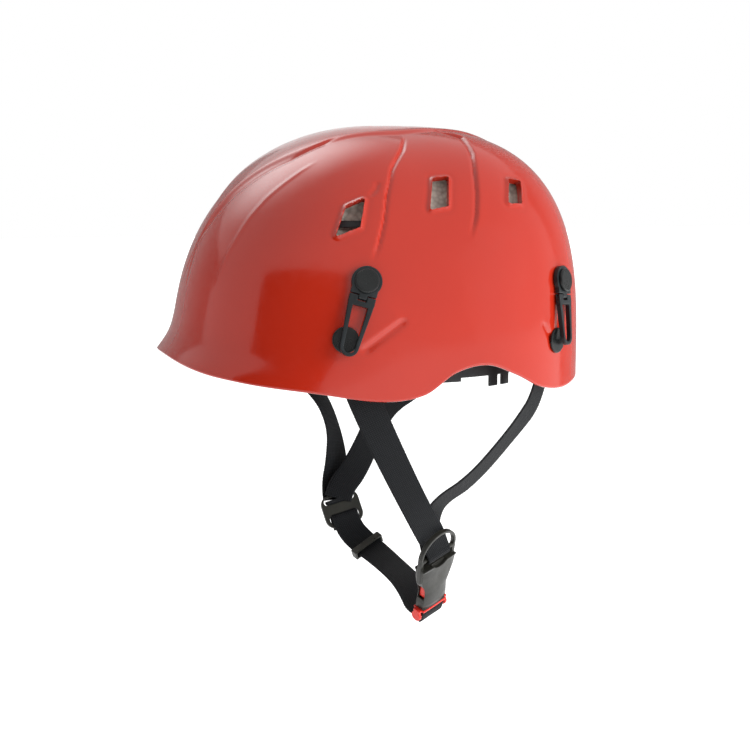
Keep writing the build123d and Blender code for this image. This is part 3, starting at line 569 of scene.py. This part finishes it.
def dome_faces(rings, spokes, start, flip):
    """Faces between the rings of a polar grid whose points begin at start, and its cap at the crown."""
    faces = []
    for i in range(rings - 1):
        for j in range(spokes):
            k = (j + 1) % spokes
            quad = (start + i * spokes + j, start + i * spokes + k,
                    start + (i + 1) * spokes + k, start + (i + 1) * spokes + j)
            faces.append(quad[::-1] if flip else quad)
    cap = tuple(range(start, start + spokes))
    faces.append(cap if flip else cap[::-1])
    return faces


def edge_roll(outer, inner, steps=4):
    """Rings that turn the lower edge round from the outer to the inner surface as a half circle."""
    middle = (outer + inner) / 2
    reach = (outer - inner) / 2
    rings = []
    for step in range(1, steps + 1):
        angle = pi * step / (steps + 1)
        drop = np.linalg.norm(reach, axis=1, keepdims=True) * sin(angle) * np.array([[0.0, 0.0, -0.8]])
        rings.append(middle + reach * cos(angle) + drop)
    return rings


def domed_solid(name, outer, inner):
    """Closed mesh between two polar grids with a rounded lower edge."""
    rings, spokes = outer.shape[:2]
    under = len(inner)
    roll = edge_roll(outer[-1], inner[-1])
    points = np.vstack([outer.reshape(-1, 3), inner.reshape(-1, 3)] + roll)
    faces = dome_faces(rings, spokes, 0, False)
    faces += dome_faces(under, spokes, rings * spokes, True)
    ladder = [(rings - 1) * spokes]
    ladder += [(rings + under + k) * spokes for k in range(len(roll))]
    ladder.append((rings + under - 1) * spokes)
    for upper, lower in zip(ladder[:-1], ladder[1:]):
        for j in range(spokes):
            k = (j + 1) % spokes
            faces.append((upper + j, upper + k, lower + k, lower + j))
    return mesh_object(name, points * MM, faces)


def prism_object(name, outline, direction, low, high):
    """Closed prism over an outline, from low to high along a direction, in millimetres."""
    count = len(outline)
    points = np.vstack([outline + direction * low, outline + direction * high])
    faces = [tuple(range(count))[::-1], tuple(range(count, 2 * count))]
    for j in range(count):
        k = (j + 1) % count
        faces.append((j, k, count + k, count + j))
    obj = mesh_object(name, points * MM, faces)
    outward(obj.data)
    return obj


def flipped(points):
    """Mirror image on the other side of the helmet."""
    return points * np.array([-1.0, 1.0, 1.0])


def shell_normal(spot):
    """Outward normal of the plain shell at a spot."""
    step = np.array([[0.5, 0.0], [-0.5, 0.0], [0.0, 0.5], [0.0, -0.5]])
    east, west, south, north = on_shell(np.array(spot) + step, relief=False)
    normal = np.cross(south - north, east - west)
    return normal / np.linalg.norm(normal)


def both_sides(outline, normal, reach):
    """A cutter through the shell, and its mirror image."""
    return [prism_object("cutter", outline, normal, -reach, reach),
            prism_object("cutter", flipped(outline), flipped(normal), -reach, reach)]


def vent_cutters():
    """Cutters for the vents."""
    cutters = []
    for corners in VENTS:
        outline = vent_outline(corners)
        third = len(outline) // 3
        normal = np.cross(outline[third] - outline[0], outline[2 * third] - outline[0])
        cutters += both_sides(outline, normal / np.linalg.norm(normal), CUTTER_REACH["vent"])
    return cutters


def hole_cutters(spots, radius):
    """Cutters for round holes."""
    cutters = []
    turn = 2 * pi * np.arange(HOLE_SIDES) / HOLE_SIDES
    for spot in spots:
        normal = shell_normal(spot)
        centre = on_shell(spot, relief=False)[0]
        across = np.cross(normal, [0.0, 0.0, 1.0])
        across /= np.linalg.norm(across)
        up = np.cross(normal, across)
        outline = centre + radius * (np.outer(np.cos(turn), across) + np.outer(np.sin(turn), up))
        cutters += both_sides(outline, normal, CUTTER_REACH["hole"])
    return cutters


def cut(obj, cutters):
    """Take the cutters' shapes out of an object, and remove them."""
    collection = bpy.data.collections.new("cutters")
    for cutter in cutters:
        collection.objects.link(cutter)
    modifier = obj.modifiers.new("cut", "BOOLEAN")
    modifier.operation = "DIFFERENCE"
    modifier.operand_type = "COLLECTION"
    modifier.collection = collection
    modifier.solver = "EXACT"
    baked(obj)
    for cutter in cutters:
        bpy.data.objects.remove(cutter)
    bpy.data.collections.remove(collection)


def outer_shell():
    """The red shell with its folds, vent lips, vents and holes."""
    outer = polar_grid(0.0, RINGS)
    normals = grid_normals(outer)
    lift = relief_heights(outer.reshape(-1, 3), normals.reshape(-1, 3)).reshape(outer.shape[:2])
    outer = outer + normals * lift[..., None]
    inner = polar_grid(SHELL_WALL, INNER_RINGS)
    shell = domed_solid("red_shell", outer, inner)
    holes = hole_cutters(RIVETS.values(), RIVET_HOLE_R) + hole_cutters(ANCHORS.values(), ANCHOR_HOLE_R)
    cut(shell, vent_cutters() + holes)
    return finish_piece(shell, LOOKS["shell"], "helmet", ("outer_shell",), sharp=38)


# ---- webbing ---------------------------------------------------------------------------------
WEB_WIDTH = 20.0
WEB_THICK = 1.5
WEB_STEP = 0.55
WEB_COLUMNS = 45
WEB_CUP = 0.10
YARN_HEIGHT = 0.055
YARN_ACROSS = 1.9
YARN_ALONG = 2.2
SELVEDGE = 0.10
SELVEDGE_AT = 0.9
SELVEDGE_SPREAD = 0.05
EDGE_WAVE = 0.006
EDGE_FRAY = 0.003
FACE_WINDOW = 17  # points on each side over which the facing direction is averaged

# Each strap's route in millimetres, and which way the webbing faces at each of its points.
STRAPS = {
    "left_front_strap": [
        ((99.3, -51.0, 21.0), (0.96, -0.26, 0.05)), ((102.5, -40.0, -10.0), (0.96, -0.10, 0.10)),
        ((99.0, -16.6, -57.0), (0.93, 0.20, 0.05)), ((95.2, 0.4, -88.3), (0.85, 0.42, -0.20)),
        ((84.3, 11.2, -102.3), (0.75, 0.50, -0.43)), ((84.6, 14.4, -110.9), (0.91, 0.39, 0.13))],
    "left_rear_strap": [
        ((84.3, 85.0, 13.0), (0.68, 0.72, 0.10)), ((85.0, 82.0, -13.0), (0.70, 0.66, -0.10)),
        ((90.0, 62.0, -35.0), (0.68, 0.54, -0.42)), ((94.0, 32.0, -64.0), (0.66, 0.53, -0.45)),
        ((86.2, 13.9, -77.0), (0.75, 0.50, -0.43)), ((81.4, 9.0, -90.6), (0.79, 0.49, -0.36)),
        ((79.6, 9.8, -102.3), (0.85, 0.45, -0.20)), ((80.0, 12.6, -111.6), (0.91, 0.39, 0.13))],
    "right_front_strap": [
        ((-99.3, -51.0, 21.0), (-0.96, -0.26, 0.05)), ((-101.0, -32.0, -10.0), (-0.90, -0.35, 0.0)),
        ((-96.5, -10.0, -38.0), (-0.62, -0.72, -0.35)), ((-90.5, -2.0, -62.0), (-0.66, -0.70, -0.30)),
        ((-83.5, -2.5, -86.0), (-0.85, -0.35, -0.38)), ((-77.5, -6.2, -102.3), (-0.93, 0.0, -0.35)),
        ((-73.9, -5.8, -110.2), (-0.943, 0.036, -0.330))],
    "right_rear_strap": [
        ((-84.3, 85.0, 13.0), (-0.68, 0.72, 0.10)), ((-85.5, 81.0, -13.0), (-0.80, 0.55, 0.0)),
        ((-87.0, 60.0, -30.0), (-0.92, 0.25, 0.05)), ((-86.0, 34.0, -45.0), (-0.96, 0.0, 0.05)),
        ((-81.5, 21.0, -70.0), (-0.96, -0.10, 0.0)), ((-75.5, 8.0, -90.0), (-0.94, 0.0, -0.25)),
        ((-71.5, -3.3, -100.6), (-0.93, 0.0, -0.35)), ((-69.3, -5.9, -108.6), (-0.943, 0.036, -0.330))],
    "chin_strap": [
        ((-64.4, -1.6, -122.1), (0.943, -0.036, 0.330)), ((-61.6, 0.2, -129.4), (0.90, -0.10, 0.42)),
        ((-53.5, 6.5, -137.0), (0.70, -0.25, 0.66)), ((-40.0, 12.0, -141.5), (0.40, -0.30, 0.87)),
        ((-14.5, 15.3, -145.0), (0.10, -0.22, 0.96)), ((14.0, 16.3, -147.0), (0.0, -0.20, 0.97)),
        ((36.5, 15.5, -151.0), (0.05, -0.22, 0.97)), ((53.6, 13.6, -155.4), (0.15, -0.22, 0.96)),
        ((60.9, 17.1, -155.7), (0.152, -0.225, 0.962))],
}


def spline_points(route):
    """Points along the NURBS line whose control points are the route, in metres."""
    curve = bpy.data.curves.new("route", "CURVE")
    curve.dimensions = "3D"
    curve.resolution_u = 40
    spline = curve.splines.new("NURBS")
    spline.points.add(len(route) - 1)
    for point, spot in zip(spline.points, route):
        point.co = (*[c * MM for c in spot], 1.0)
    spline.order_u = 3
    spline.use_endpoint_u = True
    obj = linked("route", curve)
    bpy.context.view_layer.update()
    mesh = bpy.data.meshes.new_from_object(obj.evaluated_get(bpy.context.evaluated_depsgraph_get()))
    points = np.array([v.co for v in mesh.vertices])
    bpy.data.meshes.remove(mesh)
    bpy.data.objects.remove(obj)
    bpy.data.curves.remove(curve)
    return points


def unit(vectors):
    """The same directions at length 1."""
    return vectors / np.maximum(np.linalg.norm(vectors, axis=-1, keepdims=True), 1e-9)


def evenly(points, step):
    """The same line with points a fixed step apart."""
    runs = np.linalg.norm(np.diff(points, axis=0), axis=1)
    reach = np.concatenate([[0.0], np.cumsum(runs)])
    count = max(int(round(reach[-1] / step)), 2)
    wanted = np.linspace(0.0, reach[-1], count + 1)
    return np.column_stack([np.interp(wanted, reach, points[:, k]) for k in range(3)])


def squared(faces, points):
    """Facing directions made square to a line, and which way the line heads at each point."""
    heading = unit(np.gradient(points, axis=0))
    return unit(faces - heading * np.einsum("ij,ij->i", faces, heading)[:, None]), heading


def faces_along(points, route):
    """Which way the webbing faces and heads at each point, from the route's own directions."""
    places = []
    for spot, _ in route:
        places.append(int(np.argmin(np.linalg.norm(points - np.array(spot) * MM, axis=1))))
    places[0], places[-1] = 0, len(points) - 1
    wanted = unit(np.array([face for _, face in route], float))
    index = np.arange(len(points))
    faces = np.column_stack([np.interp(index, places, wanted[:, k]) for k in range(3)])
    padded = np.vstack([np.repeat(faces[:1], FACE_WINDOW, 0), faces, np.repeat(faces[-1:], FACE_WINDOW, 0)])
    kernel = np.ones(2 * FACE_WINDOW + 1) / (2 * FACE_WINDOW + 1)
    faces = np.column_stack([np.convolve(padded[:, k], kernel, "valid") for k in range(3)])
    return squared(faces, points)


def webbing_mesh(name, points, faces, heading):
    """Flat woven strap along a line: raised yarn rows, soft edges and a slight cup across."""
    across = np.cross(heading, faces)
    u = np.linspace(-1.0, 1.0, WEB_COLUMNS)
    count = len(points)
    along = np.arange(count) * WEB_STEP
    ragged = 1 + EDGE_WAVE * np.sin(2 * pi * along / YARN_ALONG) + EDGE_FRAY * rng.standard_normal(count)
    half_width = WEB_WIDTH * MM / 2 * ragged
    edge = (1 - np.abs(u)**10)**0.5
    selvedge = SELVEDGE * np.exp(-((np.abs(u) - SELVEDGE_AT) / SELVEDGE_SPREAD)**2)
    yarn = (np.sin(2 * pi * u * WEB_WIDTH / 2 / YARN_ACROSS)[None, :]
            * np.sin(2 * pi * along / YARN_ALONG)[:, None])
    rings = []
    for side in (1, -1):
        height = ((WEB_THICK / 2 * edge)[None, :] + side * WEB_CUP * (u**2)[None, :]
                  + YARN_HEIGHT * yarn * edge[None, :])
        height = (height + selvedge[None, :])[:, ::side] * MM
        offset = (u[::side][None, :, None] * half_width[:, None, None] * across[:, None, :]
                  + side * height[:, :, None] * faces[:, None, :])
        rings.append(points[:, None, :] + offset)
    ring = np.concatenate(rings, axis=1)
    size = ring.shape[1]
    quads = []
    for i in range(count - 1):
        for j in range(size):
            k = (j + 1) % size
            quads.append((i * size + j, i * size + k, (i + 1) * size + k, (i + 1) * size + j))
    quads.append(tuple(range(size))[::-1])
    quads.append(tuple(range((count - 1) * size, count * size)))
    obj = mesh_object(name, ring.reshape(-1, 3), quads)
    spread = np.concatenate([u, u[::-1]]) * WEB_WIDTH / 2 * MM
    layer = obj.data.uv_layers.new(name="weave")
    vertex = np.empty(len(obj.data.loops), int)
    obj.data.loops.foreach_get("vertex_index", vertex)
    uv = np.column_stack([spread[vertex % size], (vertex // size) * WEB_STEP * MM])
    layer.data.foreach_set("uv", uv.ravel())
    outward(obj.data)
    return obj


def strap(name, body="helmet"):
    """One strap along its route, and the line that it follows."""
    route = STRAPS[name]
    points = evenly(spline_points([spot for spot, _ in route]), WEB_STEP * MM)
    faces, heading = faces_along(points, route)
    obj = webbing_mesh(name + "_weave", points, faces, heading)
    finish_piece(obj, LOOKS["webbing"], body, (name,), sharp=60)
    return obj, points


# ---- buckle space ----------------------------------------------------------------------------
BUCKLE_AT = np.array([76.0, 14.6, -124.5])
BUCKLE_W = np.array([-0.412, 0.871, 0.269])
BUCKLE_N = np.array([0.792, 0.488, -0.366])
BUCKLE_V = np.cross(BUCKLE_N, BUCKLE_W)
BOW_BAR_R, BOW_BAR_Y, BOW_TILT = 1.5, 14.0, -30.0
MALE_BAR_R, MALE_BAR_Y, MALE_TILT = 1.6, -32.2, 70.0
BAR_GAP = 0.25
TURN_STEPS = 24


def in_buckle(x, y, z):
    """Point in metres from millimetres across the buckle, along it and out of its face."""
    return (BUCKLE_AT + BUCKLE_W * x + BUCKLE_V * y + BUCKLE_N * z) * MM


def fold_line(bar_y, bar_r, tilt, towards, leg, tail, hang):
    """Line of webbing round a bar: up one leg, round the bar, and back down the other.

    Where the line is below the bar, its distance down from it is multiplied by hang.
    """
    radius = bar_r + BAR_GAP + WEB_THICK / 2
    angles = [pi * k / TURN_STEPS for k in range(TURN_STEPS + 1)]
    flat = [(towards * leg, radius)]
    flat += [(-towards * radius * sin(angle), radius * cos(angle)) for angle in angles]
    flat.append((towards * tail, -radius))
    facing = [(0.0, 1.0)]
    facing += [(-towards * sin(angle), cos(angle)) for angle in angles]
    facing.append((0.0, -1.0))
    a = radians(tilt)
    points, faces = [], []
    for (y, z), (ny, nz) in zip(flat, facing):
        height = y * cos(a) - z * sin(a)
        height = height * hang if height < 0 else height
        points.append(in_buckle(0.0, bar_y + height, y * sin(a) + z * cos(a)))
        faces.append(BUCKLE_V * (ny * cos(a) - nz * sin(a)) + BUCKLE_N * (ny * sin(a) + nz * cos(a)))
    return np.array(points), np.array(faces)


def webbing_fold(name, node, body, **shape):
    """Fold of webbing round one of the buckle's bars."""
    rough, facing = fold_line(**shape)
    runs = np.concatenate([[0.0], np.cumsum(np.linalg.norm(np.diff(rough, axis=0), axis=1))])
    points = evenly(rough, WEB_STEP * MM)
    wanted = np.linspace(0.0, runs[-1], len(points))
    faces = unit(np.column_stack([np.interp(wanted, runs, facing[:, k]) for k in range(3)]))
    faces, heading = squared(faces, points)
    obj = webbing_mesh(name, points, faces, heading)
    return finish_piece(obj, LOOKS["webbing"], body, (node,), sharp=60)


# The buckle body's half width at places along it, in millimetres.
BODY_LINE = [(-27, 10.2), (-20, 10.8), (-13, 10.2), (-6, 12.4), (2, 14.8), (9, 15.2)]
CROWN_FALL = 0.34
CROWN_ROUND = 2.6
FACE_AT = 2.7
BODY_TOP_Y = 9.5
BODY_END_Y = -27.4
THUMB_DISH = {"depth": 0.54, "y": -1.0, "half_width": 6.5, "half_length": 7.5}
END_THIN = {"depth": 0.54, "y": -23.0, "over": 4.0}


def crowned(points):
    """Round the buckle body's two faces over from middle to sides, with a thumb dish and a thinner end."""
    local = points / MM - BUCKLE_AT
    x, y, z = local @ BUCKLE_W, local @ BUCKLE_V, local @ BUCKLE_N
    ys, widths = np.array(BODY_LINE, float).T
    share = np.abs(x) / np.interp(y, ys, widths)
    on_face = ease((BODY_TOP_Y - y) / 3.0) * ease((y - BODY_END_Y) / 1.2) * ease((np.abs(z) - FACE_AT) / 1.2)
    fall = CROWN_FALL * np.clip(share, 0, 1)**CROWN_ROUND
    from_dish = (x / THUMB_DISH["half_width"])**2 + ((y - THUMB_DISH["y"]) / THUMB_DISH["half_length"])**2
    dish = THUMB_DISH["depth"] * np.exp(-from_dish)
    end = END_THIN["depth"] * ease((END_THIN["y"] - y) / END_THIN["over"])
    z = z * (1 - fall * on_face) - np.sign(z) * (dish + end) * on_face
    return (BUCKLE_AT + np.outer(x, BUCKLE_W) + np.outer(y, BUCKLE_V) + np.outer(z, BUCKLE_N)) * MM


DIVIDER_AT = np.array([-69.0, -3.1, -116.5])
DIVIDER_W = np.array([-0.041, 0.974, 0.223])
DIVIDER_N = np.array([0.943, -0.036, 0.330])
DIVIDER_V = np.cross(DIVIDER_N, DIVIDER_W)
ROUNDING_PASSES = 12

# The two turns of webbing seen from the divider's side: (along, out) in millimetres.
LOWER_FOLD = [(-7.4, 2.55), (-5.2, 2.6), (-3.0, 2.1), (-2.3, 0.0), (-3.0, -2.2), (-5.6, -2.7),
              (-9.0, -2.6), (-13.0, -1.7)]
UPPER_FOLD = [(8.3, 2.5), (6.7, 2.4), (5.8, 1.0), (5.7, 0.0), (5.8, -1.0), (6.7, -2.4), (8.3, -2.5)]


def divider_fold(name, route):
    """Webbing's turn through one of the divider's openings."""
    flat = evenly(np.array([(y, z, 0.0) for y, z in route]), 0.2)
    for _ in range(ROUNDING_PASSES):
        flat[1:-1] = (flat[:-2] + flat[2:] + 2 * flat[1:-1]) / 4
    flat = evenly(flat, WEB_STEP)
    turn = unit(np.gradient(flat, axis=0))
    points = (DIVIDER_AT + np.outer(flat[:, 0], DIVIDER_V) + np.outer(flat[:, 1], DIVIDER_N)) * MM
    heading = np.outer(turn[:, 0], DIVIDER_V) + np.outer(turn[:, 1], DIVIDER_N)
    faces = np.outer(-turn[:, 1], DIVIDER_V) + np.outer(turn[:, 0], DIVIDER_N)
    obj = webbing_mesh(name, points, faces, heading)
    return finish_piece(obj, LOOKS["webbing"], "helmet", sharp=60)


# ---- padding ---------------------------------------------------------------------------------
CLOTH_FRAMES = 14
CLOTH_PRESSURE = 3.0


def padded_piece(node, name, voxel, cap, shrink):
    """A cloth-covered pad: remeshed, blown up as cloth, held near its CAD form, then subdivided."""
    obj = softened(node, name, voxel, 2)
    rest = read_points(obj)
    cloth = obj.modifiers.new("cloth", "CLOTH")
    cloth.settings.use_pressure = True
    cloth.settings.uniform_pressure_force = CLOTH_PRESSURE
    cloth.settings.effector_weights.gravity = 0.0
    cloth.settings.quality = 5
    for step in range(1, CLOTH_FRAMES + 1):
        SCENE.frame_set(step)
    baked(obj)
    SCENE.frame_set(1)
    blown = read_points(obj)
    normals = np.array([v.normal for v in obj.data.vertices])
    move = blown - rest
    size = np.linalg.norm(move, axis=1, keepdims=True)
    move *= np.minimum(1.0, cap * MM / np.maximum(size, 1e-9))
    write_points(obj, rest + move - normals * shrink * MM)
    smooth = obj.modifiers.new("fine", "SUBSURF")
    smooth.levels = 1
    smooth.render_levels = 1
    baked(obj)
    finish_piece(obj, LOOKS["padding"], body_of(node), (node,))


# ---- assembly --------------------------------------------------------------------------------
outer_shell()

moulded("foam_liner", "foam_liner_shape", 1.7, 2, "foam")
# Dark band round the liner, which shows through the front vent as a dark line across it.
moulded("liner_band", "dark_liner_band", 0.5, 1, "black_plastic")
for node, voxel in (("front_headband", 0.5), ("left_adjuster_arm", 0.4), ("right_adjuster_arm", 0.4),
                    ("adjuster_housing", 0.5), ("adjuster_cover", 0.5), ("adjuster_knob", 0.4)):
    moulded(node, node + "_shape", voxel, 2, "black_plastic")
moulded("adjuster_pinion", "pinion_shape", 0.25, 1, "nylon")
for side in ("left", "right"):
    for place in ("front", "rear"):
        head = f"{side}_{place}_"
        moulded(head + "clip_base", head + "clip_base_shape", 0.3, 3, "clip_plastic")
        moulded(head + "clip_loop", head + "clip_loop_shape", 0.3, 3, "clip_plastic")
        moulded(head + "clip_rivet", head + "rivet_shape", 0.3, 2, "rivet_plastic")
        moulded(head + "strap_anchor", head + "anchor_shape", 0.3, 2, "rivet_plastic")

padded_piece("crown_pad", "crown_pad_cover", 2.6, 2.0, 0.6)
padded_piece("brow_pad", "brow_pad_cover", 2.0, 1.5, 0.4)
padded_piece("nape_pad", "nape_pad_cover", 2.0, 1.5, 0.4)

on_straps = [
    moulded("buckle_female", "buckle_body", 0.33, 4, "buckle_plastic", crowned),
    moulded("buckle_male", "buckle_insert_part", 0.3, 4, "red_plastic"),
    moulded("front_latch_arm", "front_latch_part", 0.3, 2, "red_plastic"),
    moulded("rear_latch_arm", "rear_latch_part", 0.3, 2, "red_plastic"),
    moulded("strap_divider", "divider_part", 0.3, 3, "buckle_plastic"),
    moulded("strap_keeper", "keeper_part", 0.3, 3, "buckle_plastic"),
    divider_fold("lower_divider_fold", LOWER_FOLD),
    divider_fold("upper_divider_fold", UPPER_FOLD),
    webbing_fold("bow_fold", "bow_webbing_loop", "helmet", bar_y=BOW_BAR_Y, bar_r=BOW_BAR_R, tilt=BOW_TILT,
                 towards=1, leg=1.0, tail=1.0, hang=1.0),
    webbing_fold("male_fold", "male_webbing_loop", "buckle_insert", bar_y=MALE_BAR_Y, bar_r=MALE_BAR_R,
                 tilt=MALE_TILT, towards=-1, leg=0.4, tail=4.0, hang=2.5),
]

for name in ("left_front_strap", "left_rear_strap", "right_front_strap", "right_rear_strap"):
    piece, line = strap(name)
chin, chin_line = strap("chin_strap", None)
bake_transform(chin)


# ---- studio: floor, lights and cards in metres, camera in millimetres ------------------------
FLOOR_Z = -0.45
FLOOR_REACH = 9
FLOOR_GLOW = 0.55
FILL_POWER = 44.0
CARD_AIM = (0.0, 0.0, 0.02)
SENSOR_WIDTH = 36.0
LENS = 73.65
CAMERA_AT = (966.21, -314.41, 143.39)
CAMERA_AIM = (0.0, -0.47, -8.99)


def plain_material(name, colour):
    """Matt material with a faint cloudiness."""
    look = Look(name, 0.9)
    look.colour(look.between(look.noise(3.0), colour, tuple(c * 0.985 for c in colour)))
    return look.material


def aimed(centre, direction, axis):
    """Placement at a centre with one axis along a direction."""
    return Matrix.Translation(centre) @ direction.to_track_quat(axis, "Y").to_matrix().to_4x4()


def card(name, centre, towards, width, height, material):
    """Flat studio card facing a point."""
    centre, towards = Vector(centre), Vector(towards)
    obj = mesh_object(name, [(-width / 2, -height / 2, 0), (width / 2, -height / 2, 0),
                             (width / 2, height / 2, 0), (-width / 2, height / 2, 0)], [(0, 1, 2, 3)])
    obj.data.materials.append(material)
    obj.matrix_world = aimed(centre, (towards - centre).normalized(), "Z")
    return obj


def glow_card(name, centre, width, height, strength):
    """Softly fading light panel that shows in reflections."""
    look = Look(name + "_glow", 0.9)
    scaled = look.tree.nodes.new("ShaderNodeVectorMath")
    scaled.operation = "MULTIPLY"
    scaled.inputs[1].default_value = (2 / width, 2 / height, 1.0)
    look.link(look.coords, scaled.inputs[0])
    distance = look.tree.nodes.new("ShaderNodeVectorMath")
    distance.operation = "LENGTH"
    look.link(scaled.outputs["Vector"], distance.inputs[0])
    fade = look.tree.nodes.new("ShaderNodeMapRange")
    fade.interpolation_type = "SMOOTHSTEP"
    fade.inputs["From Min"].default_value = 0.95
    fade.inputs["From Max"].default_value = 0.1
    fade.inputs["To Min"].default_value = 1.0
    fade.inputs["To Max"].default_value = strength
    look.link(distance.outputs["Value"], fade.inputs["Value"])
    look.shader.inputs["Base Color"].default_value = (0, 0, 0, 1)
    look.shader.inputs["Emission Color"].default_value = (1, 1, 1, 1)
    look.link(fade.outputs["Result"], look.shader.inputs["Emission Strength"])
    panel = card(name, centre, (0.0, 0.0, 0.0), width, height, look.material)
    panel.visible_camera = False
    panel.visible_shadow = False
    panel.visible_diffuse = False


def softbox(name, centre, towards, width, height, power):
    """Rectangular light facing a point."""
    light = bpy.data.lights.new(name, "AREA")
    light.shape = "RECTANGLE"
    light.size, light.size_y = width, height
    light.energy = power
    obj = linked(name, light)
    obj.matrix_world = aimed(Vector(centre), Vector(towards) - Vector(centre), "-Z")
    return obj


DARK = plain_material("black_card", (0.012, 0.012, 0.012))
GREY = plain_material("grey_card", (0.30, 0.30, 0.30))

# Cards that the shell reflects: name, centre, width, height and material.
CARDS = [("front_card", (1.72, -1.62, 0.26), 2.5, 2.1, DARK), ("rear_card", (-1.2, 1.6, 0.5), 2.4, 2.0, GREY),
         ("far_card", (-1.8, -0.9, 0.3), 2.4, 1.6, GREY)]


def studio():
    """White world, pale floor, fill light, and the cards that shape the shell's reflections."""
    world = bpy.data.worlds.new("studio")
    SCENE.world = world
    world.use_nodes = True
    background = world.node_tree.nodes["Background"]
    background.inputs["Color"].default_value = (1, 1, 1, 1)
    background.inputs["Strength"].default_value = 1.0
    corners = [(x * FLOOR_REACH, y * FLOOR_REACH, 0) for x, y in ((-1, -1), (1, -1), (1, 1), (-1, 1))]
    floor = mesh_object("floor", corners, [(0, 1, 2, 3)])
    floor.location.z = FLOOR_Z
    pale = plain_material("pale_floor", (0.95, 0.95, 0.95))
    glow = pale.node_tree.nodes["Principled BSDF"].inputs
    glow["Emission Color"].default_value = (1, 1, 1, 1)
    glow["Emission Strength"].default_value = FLOOR_GLOW
    floor.data.materials.append(pale)
    fill = softbox("side_box", (1.2, 1.4, 0.55), (0.0, 0.0, 0.0), 1.2, 1.2, FILL_POWER)
    fill.visible_glossy = False
    glow_card("top_card", (-0.95, -0.45, 1.45), 2.4, 2.2, 5.0)
    for name, centre, width, height, material in CARDS:
        flag = card(name, centre, CARD_AIM, width, height, material)
        flag.visible_camera = False
        flag.visible_shadow = material is DARK


def photo_camera():
    """Camera at the photograph's viewing angle."""
    camera = bpy.data.cameras.new("camera")
    camera.sensor_width = SENSOR_WIDTH
    camera.lens = LENS
    camera.clip_end = 50.0
    obj = linked("camera", camera)
    place, target = Vector(CAMERA_AT) * MM, Vector(CAMERA_AIM) * MM
    obj.location = place
    obj.rotation_euler = (target - place).to_track_quat("-Z", "Y").to_euler()
    SCENE.camera = obj


studio()
photo_camera()
SCENE.view_settings.view_transform = "Standard"
